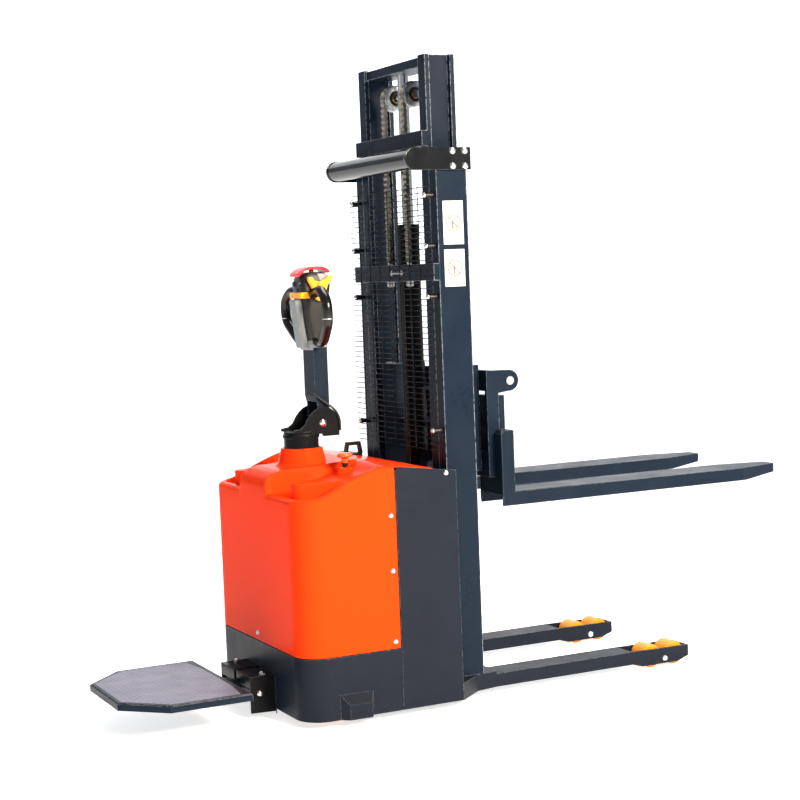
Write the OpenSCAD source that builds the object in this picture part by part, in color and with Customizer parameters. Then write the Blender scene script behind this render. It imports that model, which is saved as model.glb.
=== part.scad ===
// Rider pallet stacker: two-stage mast, forks over straddle legs, drive unit and fold-up platform.
// +X points towards the fork tips, +Y to the operator's left, and the floor is z = 0.

/* [Chassis] */
// Width of the chassis over its side plates
chassis_w = 764; // [700:2:860]
// Distance from the front of the mast back to the rear of the chassis
chassis_len = 668; // [620:2:760]
// Height of the chassis bottom above the floor
ground_gap = 24; // [18:1:40]
// Thickness of the chassis plates
plate_t = 8; // [5:1:10]
// Height of the rear skirt's upper edge
skirt_top = 221; // [200:1:240]
// Radius of the chassis and hood corners at the rear
corner_r = 85; // [50:1:110]
// Distance from the front of the mast back to the front edge of the side plates
side_front = 120; // [112:1:150]
// Distance from the front of the mast back to the joint of side plate and hood
side_rear = 335; // [300:1:360]
// Height of the side plates at the hood
side_h = 796; // [700:2:900]
// Height of the side plates at the mast
side_low_h = 768; // [680:2:880]

/* [Mast] */
// Height of the outer mast rails
outer_h = 1785; // [1600:5:2000]
// Width of the outer mast over its rails
outer_w = 600; // [560:2:640]
// Depth of the outer rails, front to back
outer_depth = 110; // [90:1:130]
// Flange width of the outer rails
outer_flange = 46; // [40:1:52]
// Web thickness of the outer rails
outer_web = 10; // [8:1:14]
// Flange thickness of the outer rails
outer_flange_t = 14; // [10:1:16]
// Height of the inner mast's top as stored
inner_top = 2095; // [1900:5:2300]
// Length of the inner mast rails
inner_len = 1720; // [1500:5:1800]
// Flange width of the inner rails
inner_flange = 49; // [44:1:54]
// Depth of the inner rails, front to back
inner_depth = 107; // [88:1:126]
// Flange thickness of the inner rails
inner_flange_t = 16; // [12:1:18]
// Web thickness of the inner rails
inner_web = 12; // [8:1:14]
// Thickness of the flat bars that tie the rails together
bar_t = 20; // [14:1:24]
// Diameter of the lift cylinder's barrel
barrel_d = 70; // [60:1:76]
// Height of the lift cylinder's barrel top
barrel_top = 1560; // [1400:5:1600]
// Diameter of the piston rod
rod_d = 38; // [30:1:42]
// Pitch diameter of the chain pulleys
pulley_d = 77; // [60:1:80]
// Half distance between the two lift chains
chain_y = 72; // [60:1:80]
// Width of a lift chain
chain_w = 28; // [18:1:30]
// Thickness of a lift chain
chain_t = 12; // [8:1:14]
// Diameter of the rear tie tube
tie_d = 66; // [50:1:76]

/* [Carriage and forks] */
// Height of the fork blades' top face as stored
fork_top = 666; // [560:2:700]
// Length of the fork blades in front of their shanks
fork_len = 1100; // [900:5:1220]
// Width of one fork
fork_w = 152; // [140:1:180]
// Width over both forks
forks_w = 604; // [596:2:680]
// Height of the fork section
fork_t = 44; // [38:1:60]
// Thickness of the fork's top plate
fork_skin = 8; // [6:0.5:10]
// Thickness of the fork's side walls
fork_wall = 6; // [5:0.5:8]
// Distance from the front of the mast to the rear of the fork shanks
shank_gap = 95; // [90:1:110]
// Thickness of the fork shanks
shank_t = 45; // [35:1:50]
// Play of the mast and carriage rollers in their channels, on each side
roller_play = 0.3; // [0.2:0.05:0.5]

/* [Straddle legs] */
// Width of one straddle leg
leg_w = 100; // [90:1:104]
// Width over both straddle legs
legs_w = 582; // [570:2:584]
// Height of the straddle legs' top face
leg_top = 68; // [60:1:72]
// Length of the leg's box section
leg_box = 590; // [500:2:620]
// Distance from the front of the mast to the leg's tip
leg_tip = 822; // [800:2:860]
// Diameter of the load wheels
load_wheel_d = 80; // [70:1:84]
// Distance between the two load wheels of a leg
bogie_base = 94; // [90:1:110]
// Distance from the front of the mast to the bogie pin
bogie_x = 724; // [700:1:740]

/* [Wheels] */
// Diameter of the drive wheel
drive_d = 230; // [200:2:250]
// Width of the drive wheel
drive_w = 70; // [60:1:80]
// Diameter of the stabilising casters
caster_d = 125; // [100:1:130]
// Width of the stabilising casters
caster_w = 50; // [40:1:56]
// Trail of the casters behind their swivel axis
caster_trail = 45; // [30:1:46]

/* [Operator controls] */
// Distance from the front of the mast back to the steering axis
column_back = 487; // [470:1:500]
// Diameter of the steering column
column_d = 111; // [90:1:120]
// Height of the tiller pivot
pivot_h = 921; // [880:1:960]
// Width of the tiller arm
arm_w = 86; // [60:1:88]
// Diameter of the hand grips
grip_d = 31; // [26:1:36]
// Half width over the centres of the hand grips
grip_y = 165; // [120:1:190]

/* [Platform] */
// Distance from the front of the mast back to the platform's rear edge
platform_reach = 1195; // [1100:5:1260]
// Width of the platform
platform_w = 556; // [480:2:600]
// Height of the platform's top face
platform_h = 123; // [118:1:132]
// Thickness of the platform's steel deck
deck_t = 20; // [16:1:24]
// Thickness of the platform's rubber mat
mat_t = 3; // [2:0.5:5]

/* [Hidden] */

$fn = 48;
shaft_play = 0.05;
gap = 0.3;

// Places along X, all measured from the front face of the mast.
fork_reach = shank_gap + shank_t + fork_len;
mast_x = (platform_reach - fork_reach) / 2;
rail_back = mast_x - outer_depth;
rail_mid = rail_back + inner_depth / 2;
outer_mid = rail_back + outer_depth / 2;
rear_x = mast_x - chassis_len;
side_x = mast_x - side_rear;
column_x = mast_x - column_back;
half_w = chassis_w / 2;

// Rails: faces of the outer and inner sections across the machine.
outer_y = outer_w / 2;
lip_y = outer_y - outer_flange;
web_y = outer_y - outer_web;
inner_y = lip_y - 3.5;
inner_in_y = inner_y - inner_flange;
inner_web_y = inner_y - inner_flange / 2;
inner_bottom = inner_top - inner_len;
leg_base_top = leg_top + 10;
channel_r = (inner_depth - 2 * inner_flange_t) / 2 - roller_play;
outer_channel_r = (outer_depth - 2 * outer_flange_t) / 2 - roller_play;
roller_axle_r = 12.5;
top_roller_z = outer_h - 45;
bottom_roller_z = inner_bottom + 45;

// Lift chain and pulley places.
pulley_r = pulley_d / 2;
pulley_x = rail_back + 7.5 + pulley_r;
pulley_z = inner_top - 110;
anchor_z = 1398;
anchor_bar_h = 55;
chain_end_z = fork_top + 234;

// Carriage places.
carriage_x = mast_x + 75;
carriage_low = fork_top + 49;
carriage_high = fork_top + 402;
carriage_roller_high = fork_top + 390;
carriage_roller_low = fork_top + 97;
ear_x = carriage_x + 86;
ear_z = carriage_high - 37;
ear_r = 35;
fork_out = forks_w / 2;
fork_in = fork_out - fork_w;

// Straddle legs.
leg_out = legs_w / 2;
leg_in = leg_out - leg_w;
bogie_pin_r = 6.5;
bogie_pin_z = load_wheel_d / 2 - 10;

// Steering, tiller and platform places.
column_r = column_d / 2;
ring_z = 886;
arm_x = column_x + 57;
arm_half = arm_w / 2;
head_x = arm_x;
head_z = pivot_h + 449;
deck_z = 165;
caster_x = mast_x - 497;
caster_y = 270;
bracket_w = 264;
pin_x = rear_x - 54;
pin_z = platform_h - 41;
platform_front = rear_x - 133;
platform_rear = mast_x - platform_reach;

// Repeats its children mirrored to the other side of the machine.
module both_sides() {
    children();
    mirror([0, 1, 0]) children();
}

// Box from one corner to the opposite corner.
module block(low, high) {
    translate(low) cube(high - low);
}

// Cylinder along Y between two places.
module y_rod(x, z, r, y0, y1) {
    translate([x, y1, z]) rotate([90, 0, 0]) cylinder(h = y1 - y0, r = r);
}

// Cylinder along X between two places.
module x_rod(y, z, r, x0, x1) {
    translate([x0, y, z]) rotate([0, 90, 0]) cylinder(h = x1 - x0, r = r);
}

// Flat plate with an outline in XZ, standing between two places along Y.
module side_plate(y0, y1, points) {
    translate([0, y1, 0]) rotate([90, 0, 0]) linear_extrude(height = y1 - y0) polygon(points);
}

// Round bar between two points.
module bar(a, b, r) {
    d = b - a;
    len = norm(d);
    translate(a) rotate([0, acos(d[2] / len), atan2(d[1], d[0])]) cylinder(h = len, r = r);
}

// Round tube along the given points, with a slightly larger ball at each bend.
module pipe(p, r) {
    for (i = [0:len(p) - 2]) bar(p[i], p[i + 1], r);
    for (i = [1:len(p) - 2]) translate(p[i]) sphere(r = r + 0.5);
}

// Plan outline with rounded rear corners, square at the front.
module rear_outline(x0, x1, half, r) {
    translate([x0 + r, -half]) square([x1 - x0 - r, 2 * half]);
    translate([x0, r - half]) square([2 * r, 2 * (half - r)]);
    translate([x0 + r, half - r]) circle(r = r, $fn = 64);
    translate([x0 + r, r - half]) circle(r = r, $fn = 64);
}

// Dome-headed screw along an axis turned from +Z, its seat at the origin.
module dome_screw(r, shank_r, shank_len) {
    intersection() {
        translate([0, 0, -r * 0.35]) sphere(r = r * 1.06, $fn = 24);
        cylinder(h = r, r = r, $fn = 24);
    }
    if (shank_len > 0) translate([0, 0, -shank_len]) cylinder(h = shank_len, r = shank_r, $fn = 24);
}

// ---- Chassis and legs ----

bulge_out = 22;
bulge_front = side_x - 100;
bulge_rear = side_x - 227;
bulge_top = 102;

// Pressed relief in the skirt that lets a caster wheel swing outwards.
module caster_bulge(inset) {
    difference() {
        translate([0, 0, ground_gap - inset]) linear_extrude(height = bulge_top - ground_gap)
            polygon([[bulge_rear + inset, half_w - plate_t - inset],
                [bulge_rear + 32 + inset, half_w + bulge_out - inset],
                [bulge_front - 20 - inset, half_w + bulge_out - inset],
                    [bulge_front - inset, half_w - plate_t - inset]]);
        translate([0, half_w - inset, bulge_top - inset]) rotate([-54, 0, 0])
            block([bulge_rear - 50, -20, 0], [bulge_front + 50, 90, 60]);
    }
}

module skirt() {
    difference() {
        translate([0, 0, ground_gap]) linear_extrude(height = skirt_top - ground_gap) difference() {
            rear_outline(rear_x, side_x, half_w, corner_r);
            rear_outline(rear_x + plate_t, side_x + 1, half_w - plate_t, corner_r - plate_t);
        }
        both_sides() caster_bulge(plate_t);
    }
    both_sides() difference() {
        caster_bulge(0);
        caster_bulge(plate_t);
        block([bulge_rear - 60, half_w - 3 * plate_t, 0], [bulge_front + 60, half_w - plate_t, 200]);
    }
}

module side_wall() {
    side_plate(half_w - plate_t, half_w, [[side_x, ground_gap], [mast_x - side_front, ground_gap],
        [mast_x - side_front, side_low_h], [side_x + 12, side_h - 1], [side_x, side_h - 12]]);
}

module chassis() {
    color("#333d4b") {
        difference() {
            union() {
                skirt();
                both_sides() side_wall();
                block([rear_x + plate_t, -half_w + plate_t + 80, deck_z],
                    [side_x, half_w - plate_t - 80, deck_z + plate_t]);
                both_sides() block([rear_x + corner_r, 280, deck_z],
                    [side_x, half_w - plate_t, deck_z + plate_t]);
                block([side_x, -half_w + plate_t, deck_z],
                    [mast_x - 146, half_w - plate_t, deck_z + plate_t]);
            }
            translate([column_x, 0, deck_z - 1])
                cylinder(h = plate_t + 2, r = drive_d / 2 + 15, $fn = 64);
            both_sides() translate([caster_x, caster_y, deck_z - 1]) cylinder(h = plate_t + 2, r = 10.05);
        }
        // Front wall and the pads that carry the mast rails.
        block([mast_x - 146, -half_w + plate_t, ground_gap],
            [mast_x - 140, half_w - plate_t, side_low_h - 12]);
        both_sides() block([mast_x - 140, lip_y, 300], [rail_back, outer_y, 700]);
    }
}

// One straddle leg: a box tube, its flat bottom bracket and the two side plates of the wheel bay.
module straddle_leg() {
    difference() {
        block([mast_x, leg_in, ground_gap], [mast_x + leg_box, leg_out, leg_top]);
        block([mast_x + 60, leg_in + 6, ground_gap + 6],
            [mast_x + leg_box + 1, leg_out - 6, leg_top - 6]);
    }
    difference() {
        for (y = [leg_in, leg_out - plate_t])
            side_plate(y, y + plate_t, [[mast_x + leg_box, leg_top], [mast_x + leg_box, ground_gap],
                [mast_x + leg_box + 40, 12], [mast_x + leg_tip - 44, 12], [mast_x + leg_tip, 27],
                [mast_x + leg_tip, leg_top - 3]]);
        y_rod(mast_x + bogie_x, bogie_pin_z, bogie_pin_r + shaft_play, leg_in - 1, leg_out + 1);
    }
    block([mast_x + leg_tip - plate_t, leg_in + plate_t, 30],
        [mast_x + leg_tip, leg_out - plate_t, leg_top - 3]);
}

module legs() {
    color("#333d4b") {
        both_sides() straddle_leg();
        both_sides() translate([0, 0, ground_gap]) linear_extrude(height = leg_base_top - ground_gap)
            polygon([[mast_x - side_front, lip_y - 60], [mast_x - side_front, half_w],
                [mast_x - 26, leg_out + 14],
                [mast_x + 54, leg_out], [mast_x + 54, leg_in], [mast_x, lip_y - 60]]);
        block([mast_x - 110, -lip_y + 60, ground_gap], [mast_x - 20, lip_y - 60, ground_gap + 30]);
    }
}

module leg_bolts() {
    color("#d8dade") both_sides() {
        y_rod(mast_x + bogie_x, bogie_pin_z, bogie_pin_r, leg_in - 3, leg_out);
        translate([mast_x + bogie_x, leg_out, bogie_pin_z]) rotate([-90, 0, 0])
            cylinder(h = 3.4, r1 = 10, r2 = 7);
        y_rod(mast_x + bogie_x, bogie_pin_z, 10, leg_in - 6, leg_in);
    }
}

// ---- Outer mast ----

module outer_rail() {
    difference() {
        block([rail_back, lip_y, leg_base_top], [mast_x, outer_y, outer_h]);
        block([rail_back + outer_flange_t, lip_y - 1, leg_base_top - 1],
            [mast_x - outer_flange_t, web_y, outer_h + 1]);
    }
    y_rod(rail_mid, top_roller_z, roller_axle_r, inner_web_y + inner_web / 2 + 2, web_y);
}

module outer_mast() {
    color("#2f3b49") {
        both_sides() outer_rail();
        for (z = [anchor_z - anchor_bar_h / 2, 200])
            block([rail_back - bar_t, -outer_y, z], [rail_back, outer_y, z + anchor_bar_h]);
    }
}

// Cross tube behind the mast head, on a bolted end plate at each rail.
tie_z = outer_h - 28;
tie_x = rail_back - 76;

module tie_bar() {
    color("#20262e") {
        both_sides() difference() {
            union() {
                block([tie_x, outer_y, tie_z - 36], [mast_x + 14, outer_y + 8, tie_z + 36]);
                y_rod(tie_x, tie_z, 36, outer_y, outer_y + 8);
            }
            for (x = [-8, -52], z = [-24, 24])
                y_rod(mast_x + x, tie_z + z, 6.05, outer_y - 1, outer_y + 9);
        }
        difference() {
            y_rod(tie_x, tie_z, tie_d / 2, -outer_y, outer_y);
            y_rod(tie_x, tie_z, tie_d / 2 - 4, -outer_y + 10, outer_y - 10);
        }
    }
}

// Welded wire guard behind the mast, in two layers that touch.
mesh_x = rail_back - 28;
mesh_low = side_h + 28;
mesh_high = outer_h - 96;
wire_r = 1.3;

module guard_mesh() {
    color("#15181c") {
        for (z = [mesh_low:18:mesh_high])
            translate([mesh_x, 0, z]) rotate([90, 0, 0])
                cylinder(h = outer_w + 10, r = wire_r, center = true, $fn = 13);
        for (y = [-225:75:225])
            translate([mesh_x - 2 * wire_r, y, mesh_low - 4])
                cylinder(h = mesh_high - mesh_low + 8, r = wire_r, $fn = 13);
    }
}

guard_screw_rows = [3, 27, 36, 45];

module mast_bolts() {
    color("#d8dade") both_sides() {
        for (x = [-8, -52], z = [-24, 24])
            translate([mast_x + x, outer_y + 8, tie_z + z]) rotate([-90, 0, 0]) dome_screw(11, 6, 8);
        for (row = guard_screw_rows)
            translate([rail_back, outer_y - outer_flange / 2, mesh_low + 18 * row + 9])
                rotate([0, -90, 0]) {
                cylinder(h = 26, r = 8, $fn = 24);
                translate([0, 0, 26]) cylinder(h = 6.2, r = 5, $fn = 24);
                translate([0, 0, 32.1]) dome_screw(12, 5, 1);
            }
    }
}

// ---- Hood ----

hood_t = 5;
hood_low = skirt_top + 3;
hood_shoulder = side_h - 84;
spine_half = 105;
slope = [[0, 0], [68, 5], [115, 22], [143, 38], [177, 53], [212, 66], [247, 78], [281, 85], [330, 87]];

// Side view of the hood under its sloping shoulders, lowered by d.
module hood_profile(d) {
    polygon(concat([[rear_x - 1, hood_low - 1]],
        [for (p = slope) [rear_x - 1 + p[0], hood_shoulder + p[1] - d]],
        [[side_x - 3 - (d > 0 ? -1 : 0), hood_shoulder + 87 - d],
            [side_x - 3 - (d > 0 ? -1 : 0), hood_low - 1]]));
}

// Side view of the raised spine that runs from the steering collar to the rear.
module spine_profile(d) {
    polygon([[rear_x + d, hood_shoulder - 30], [rear_x + d, hood_shoulder + 48 - d],
        [rear_x + 10 + d, hood_shoulder + 68 - d],
        [rear_x + 38 + d, hood_shoulder + 80 - d], [column_x, hood_shoulder + 96 - d],
            [side_x - 60, hood_shoulder + 92 - d],
        [side_x - 3, hood_shoulder + 88 - d], [side_x - 3, hood_shoulder - 30]]);
}

module hood_solid(d) {
    intersection() {
        translate([0, half_w + 1, 0]) rotate([90, 0, 0])
            linear_extrude(height = 2 * half_w + 2) hood_profile(d);
        translate([0, 0, hood_low - (d > 0 ? 2 : 0)]) linear_extrude(height = 700)
            rear_outline(rear_x + d, side_x + 5, half_w - d, corner_r - d);
    }
    translate([0, spine_half - d, 0]) rotate([90, 0, 0])
        linear_extrude(height = 2 * (spine_half - d)) spine_profile(d);
}

collar_top = side_h + 46;
boss_x = rear_x + 68;
boss_y = 245;
stop_x = mast_x - 410;
stop_y = -170;

module hood() {
    color("#e8262a") difference() {
        union() {
            difference() {
                hood_solid(0);
                hood_solid(hood_t);
            }
            translate([column_x, 0, side_h - 20])
                cylinder(h = collar_top - side_h + 20, r1 = 76, r2 = 68, $fn = 64);
            both_sides() translate([boss_x, boss_y, hood_shoulder - 4]) cylinder(h = 46, r = 29);
            translate([stop_x, stop_y, side_h - 40]) cylinder(h = 28, r = 24);
            // Front top panel between the side plates.
            side_plate(-half_w + plate_t + gap, half_w - plate_t - gap, [[side_x - 3,
                hood_shoulder + 81], [side_x - 3, hood_shoulder + 87],
                [mast_x - 185, side_low_h + 8], [mast_x - 185, side_low_h + 2]]);
        }
        translate([column_x, 0, side_h - 60]) cylinder(h = 200, r = column_r + 2, $fn = 64);
        translate([stop_x, stop_y, side_h - 60]) cylinder(h = 100, r = 8 + shaft_play);
        block([connector_x - 34, connector_y - 20, 700], [connector_x + 26, connector_y + 20, 900]);
    }
}

module hood_screws() {
    color("#d8dade") {
        both_sides() for (z = [hood_low + 22, 0.59 * side_h, 0.81 * side_h])
            translate([side_x - 20, half_w, z]) rotate([-90, 0, 0]) dome_screw(9, 4, 0);
        translate([rear_x, 0, hood_low + 24]) rotate([0, -90, 0]) dome_screw(9, 4, 0);
        both_sides() translate([mast_x - 156, half_w, side_low_h - 6]) rotate([-90, 0, 0])
            dome_screw(9, 4, 0);
    }
}

// ---- Inside the chassis ----

module battery() {
    color("#1d1f22") {
        block([side_x + 12, -320, deck_z + plate_t], [mast_x - 156, 320, 600]);
        for (y = [-240, -80, 80, 240])
            translate([side_x + 50, y, 600]) cylinder(h = 18, r = 12);
    }
}

module power_pack() {
    color("#5d656e") {
        block([side_x - 110, 150, deck_z + plate_t], [side_x - 10, 330, 330]);
        translate([side_x - 60, 240, 330]) cylinder(h = 60, r = 45);
        translate([side_x - 60, 240, 390]) cylinder(h = 150, r = 55);
    }
}

module controller() {
    color("#2c3036") block([side_x - 110, -330, deck_z + plate_t], [side_x - 20, -150, 260]);
}

module slew_bearing() {
    color("#9aa0a6") difference() {
        translate([column_x, 0, deck_z + plate_t]) cylinder(h = 22, r = drive_d / 2 + 35, $fn = 64);
        translate([column_x, 0, deck_z]) cylinder(h = 60, r = drive_d / 2 + 15.05, $fn = 64);
    }
}

// ---- Lift cylinder, hoses and chains ----

module lift_barrel() {
    color("#23282f") difference() {
        union() {
            translate([pulley_x, 0, ground_gap + 30])
                cylinder(h = barrel_top - ground_gap - 30, r = barrel_d / 2);
            translate([pulley_x, 0, barrel_top - 40]) cylinder(h = 40, r = barrel_d / 2 + 2);
        }
        translate([pulley_x, 0, ground_gap + 60]) cylinder(h = barrel_top, r = rod_d / 2 + shaft_play);
    }
}

hose_y = 30;

module lift_hoses() {
    color("#17191c") for (y = [-hose_y, -hose_y - 14])
        translate([rail_back - 6, y, leg_base_top + 200])
            cylinder(h = anchor_z - anchor_bar_h / 2 - leg_base_top - 200, r = 5, $fn = 16);
}

module chain_anchors() {
    color("#c9ccd0") both_sides() {
        block([rail_back, chain_y - 22, anchor_z - anchor_bar_h / 2],
            [rail_back + 22, chain_y + 22, anchor_z - 2]);
        translate([pulley_x - pulley_r, chain_y, anchor_z - 46]) cylinder(h = 82, r = 7);
        translate([pulley_x - pulley_r, chain_y, anchor_z - anchor_bar_h / 2 - 16])
            cylinder(h = 16, r = 12);
        translate([pulley_x - pulley_r, chain_y, anchor_z - 2]) cylinder(h = 22, r = 7.5);
    }
}

module chain_rear() {
    color("#6d665c") both_sides()
        block([pulley_x - pulley_r - chain_t / 2, chain_y - chain_w / 2, anchor_z + 36],
            [pulley_x - pulley_r + chain_t / 2, chain_y + chain_w / 2, pulley_z]);
}

module chain_arc() {
    color("#6d665c") both_sides() translate([pulley_x, chain_y + chain_w / 2, pulley_z])
        rotate([90, 0, 0])
        difference() {
            cylinder(h = chain_w, r = pulley_r + chain_t / 2, $fn = 64);
            translate([0, 0, -1]) cylinder(h = chain_w + 2, r = pulley_r - chain_t / 2, $fn = 64);
            translate([-200, -400, -1]) cube([400, 400, chain_w + 2]);
        }
}

module chain_front() {
    color("#6d665c") both_sides()
        block([pulley_x + pulley_r - chain_t / 2, chain_y - chain_w / 2, chain_end_z],
            [pulley_x + pulley_r + chain_t / 2, chain_y + chain_w / 2, pulley_z]);
}

// ---- Inner mast ----

module inner_rail() {
    difference() {
        block([rail_back, inner_in_y, inner_bottom], [rail_back + inner_depth, inner_y, inner_top]);
        for (y = [[inner_web_y + inner_web / 2, inner_y + 1],
            [inner_in_y - 1, inner_web_y - inner_web / 2]])
            block([rail_back + inner_flange_t, y[0], inner_bottom - 1],
                [rail_back + inner_depth - inner_flange_t, y[1], inner_top + 1]);
    }
    y_rod(outer_mid, bottom_roller_z, roller_axle_r, inner_web_y, web_y - 4);
}

module inner_mast() {
    color("#2f3b49") {
        both_sides() inner_rail();
        // Head beam, rear bar and foot beam.
        block([rail_back + 8, -inner_in_y, inner_top - 35],
            [rail_back + inner_depth - 8, inner_in_y, inner_top - 5]);
        block([rail_back - bar_t, -inner_y, inner_top - 293], [rail_back, inner_y, inner_top - 243]);
        difference() {
            block([rail_back + 20, -inner_web_y, inner_bottom + 4],
                [rail_mid + 44, inner_web_y, inner_bottom + 16]);
            translate([pulley_x, 0, inner_bottom]) cylinder(h = 40, r = barrel_d / 2 + 6);
        }
    }
}

rod_bottom = ground_gap + 360;

module piston_rod() {
    color("#c4c9cf") difference() {
        translate([pulley_x, 0, rod_bottom]) cylinder(h = inner_top - 35 - rod_bottom, r = rod_d / 2);
        y_rod(pulley_x, pulley_z, 12.55, -40, 40);
    }
    color("#c4c9cf") y_rod(pulley_x, pulley_z, 12.5, -chain_y - 24, chain_y + 24);
}

module chain_pulleys() {
    color("#b9bdc2") both_sides() translate([pulley_x, chain_y + chain_w / 2 + 4, pulley_z])
        rotate([90, 0, 0])
        difference() {
            union() {
                cylinder(h = chain_w + 8, r = pulley_r - chain_t / 2 - gap, $fn = 64);
                cylinder(h = 3.5, r = pulley_r + 4, $fn = 64);
                translate([0, 0, chain_w + 4.5]) cylinder(h = 3.5, r = pulley_r + 4, $fn = 64);
            }
            translate([0, 0, -1]) cylinder(h = chain_w + 10, r = 12.5 + shaft_play);
        }
}

// Roller with a bearing bore, running on an axle along Y.
module roller(x, z, r, y0, y1) {
    difference() {
        y_rod(x, z, r, y0, y1);
        y_rod(x, z, roller_axle_r + shaft_play, y0 - 1, y1 + 1);
    }
}

module mast_rollers_top() {
    color("#8d9298") both_sides()
        roller(rail_mid, top_roller_z, channel_r, inner_web_y + inner_web / 2 + 1.5, inner_y);
}

module mast_rollers_bottom() {
    color("#8d9298") both_sides()
        roller(outer_mid, bottom_roller_z, outer_channel_r, lip_y + 2, web_y - 4);
}

// ---- Carriage and forks ----

roller_plate_y = inner_in_y - 2;

module carriage() {
    color("#2a3645") {
        difference() {
            both_sides() {
                side_plate(inner_y - 14, inner_y, [[carriage_x, carriage_low],
                    [carriage_x + 43, carriage_low],
                    [carriage_x + 43, ear_z - 40], [ear_x - 6, ear_z - ear_r], [ear_x, ear_z - ear_r],
                    [ear_x, ear_z + ear_r], [carriage_x, carriage_high]]);
                y_rod(ear_x, ear_z, ear_r, inner_y - 14, inner_y);
            }
            both_sides() y_rod(ear_x, ear_z, 12.05, inner_y - 20, inner_y + 1);
        }
        for (z = [[carriage_low, carriage_low + 85], [carriage_high - 68, carriage_high]])
            block([carriage_x, -inner_y + 14, z[0]], [carriage_x + 20, inner_y - 14, z[1]]);
        both_sides() {
            block([rail_back + 18, roller_plate_y - 12, carriage_roller_low - 30],
                [carriage_x, roller_plate_y, carriage_roller_high + 30]);
            for (z = [carriage_roller_low, carriage_roller_high])
                y_rod(rail_mid, z, roller_axle_r, roller_plate_y, inner_web_y - inner_web / 2 - 1);
        }
        // Bar that the front chain ends hang on.
        difference() {
            block([pulley_x + pulley_r - 10, -roller_plate_y + 12, chain_end_z - 22],
                [carriage_x, roller_plate_y - 12, chain_end_z - 6]);
            translate([pulley_x, 0, chain_end_z - 30]) cylinder(h = 40, r = barrel_d / 2 + 8);
        }
        both_sides() translate([pulley_x + pulley_r, chain_y, chain_end_z - 6]) cylinder(h = 6, r = 6);
    }
}

module carriage_pins() {
    color("#c9ccd0") both_sides() {
        y_rod(ear_x, ear_z, 12, inner_y - 22, inner_y + 1);
        y_rod(ear_x, ear_z, 14, inner_y + 1, inner_y + 7);
    }
}

module carriage_rollers_top() {
    color("#8d9298") both_sides()
        roller(rail_mid, carriage_roller_high, channel_r, roller_plate_y + 1,
            inner_web_y - inner_web / 2 - 1);
}

module carriage_rollers_bottom() {
    color("#8d9298") both_sides()
        roller(rail_mid, carriage_roller_low, channel_r, roller_plate_y + 1,
            inner_web_y - inner_web / 2 - 1);
}

shank_x = mast_x + shank_gap;
blade_x = shank_x + shank_t;
tip_x = mast_x + fork_reach;
tip_taper = 170;
tip_side = 45;

// Plan of a fork blade, pulled in by d on all but its heel.
module blade_plan(d) {
    polygon([[shank_x, fork_in + d], [tip_x - tip_taper, fork_in + d],
        [tip_x - d, fork_in + tip_side + d],
        [tip_x - d, fork_out - tip_side - d], [tip_x - tip_taper, fork_out - d],
            [shank_x, fork_out - d]]);
}

// One fork: an inverted channel blade welded to an upright shank.
module fork_solid() {
    difference() {
        translate([0, 0, fork_top - fork_t]) linear_extrude(height = fork_t) blade_plan(0);
        translate([0, 0, fork_top - fork_t - 1]) linear_extrude(height = fork_t - fork_skin + 1) union() {
            blade_plan(fork_wall);
            translate([shank_x - 1, fork_in + fork_wall]) square([4, fork_w - 2 * fork_wall]);
        }
        side_plate(fork_in - 1, fork_out + 1, [[tip_x - 150, fork_top - fork_t - 1],
            [tip_x - 150, fork_top - fork_t],
            [tip_x + 1, fork_top - 31], [tip_x + 1, fork_top - fork_t - 1]]);
    }
    block([shank_x, fork_in, fork_top], [blade_x, inner_y - 0.5, carriage_high - 84]);
    side_plate(inner_y - 0.5, fork_out, [[shank_x, fork_top], [blade_x, fork_top],
        [blade_x, fork_top + 205],
        [shank_x + 12, fork_top + 205], [shank_x, fork_top + 193]]);
}

module fork_left() {
    color("#28344a") fork_cut();
}

module fork_right() {
    color("#28344a") mirror([0, 1, 0]) fork_cut();
}

// The shank is notched round the carriage's side plate and crossbeams.
module fork_cut() {
    difference() {
        fork_solid();
        block([carriage_x - 1, inner_y - 14, carriage_low],
            [carriage_x + 43, inner_y, carriage_high + 10]);
        block([carriage_x - 1, 0, carriage_low], [carriage_x + 20, inner_y, carriage_high + 10]);
    }
}

// ---- Steering, drive unit and tiller ----

turntable_r = drive_d / 2 + 15;

// Turntable and gear housing that straddle the drive wheel.
module drive_unit() {
    color("#4a4f55") translate([column_x, 0, 0]) difference() {
        union() {
            translate([0, 0, deck_z + plate_t]) cylinder(h = 22, r = turntable_r, $fn = 64);
            translate([0, 0, deck_z + plate_t + 22])
                cylinder(h = 300 - deck_z - plate_t - 22, r = 100, $fn = 64);
            block([-60, drive_w / 2 + 6, 55], [60, drive_w / 2 + 57, deck_z + plate_t + 22]);
        }
        y_rod(0, drive_d / 2, drive_d / 2 + 6, -drive_w / 2 - 6, drive_w / 2 + 6);
        y_rod(0, drive_d / 2, 15 + shaft_play, 0, 80);
    }
}

module drive_motor() {
    color("#3a3e44") translate([column_x, 0, 300]) {
        cylinder(h = 210, r = 80, $fn = 64);
        translate([0, 0, 210]) cylinder(h = 50, r = 52);
    }
}

module drive_wheel() {
    color("#e89a1d") translate([column_x, 0, drive_d / 2]) rotate([90, 0, 0]) difference() {
        union() {
            translate([0, 0, -drive_w / 2]) cylinder(h = drive_w, r = drive_d / 2, $fn = 96);
            translate([0, 0, -79]) cylinder(h = 79, r = 15);
        }
        translate([0, 0, drive_w / 2 - 14]) cylinder(h = 30, r = drive_d / 2 - 30, $fn = 64);
    }
}

cheek_in = arm_half + 3;
cheek_out = cheek_in + 8;

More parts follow.
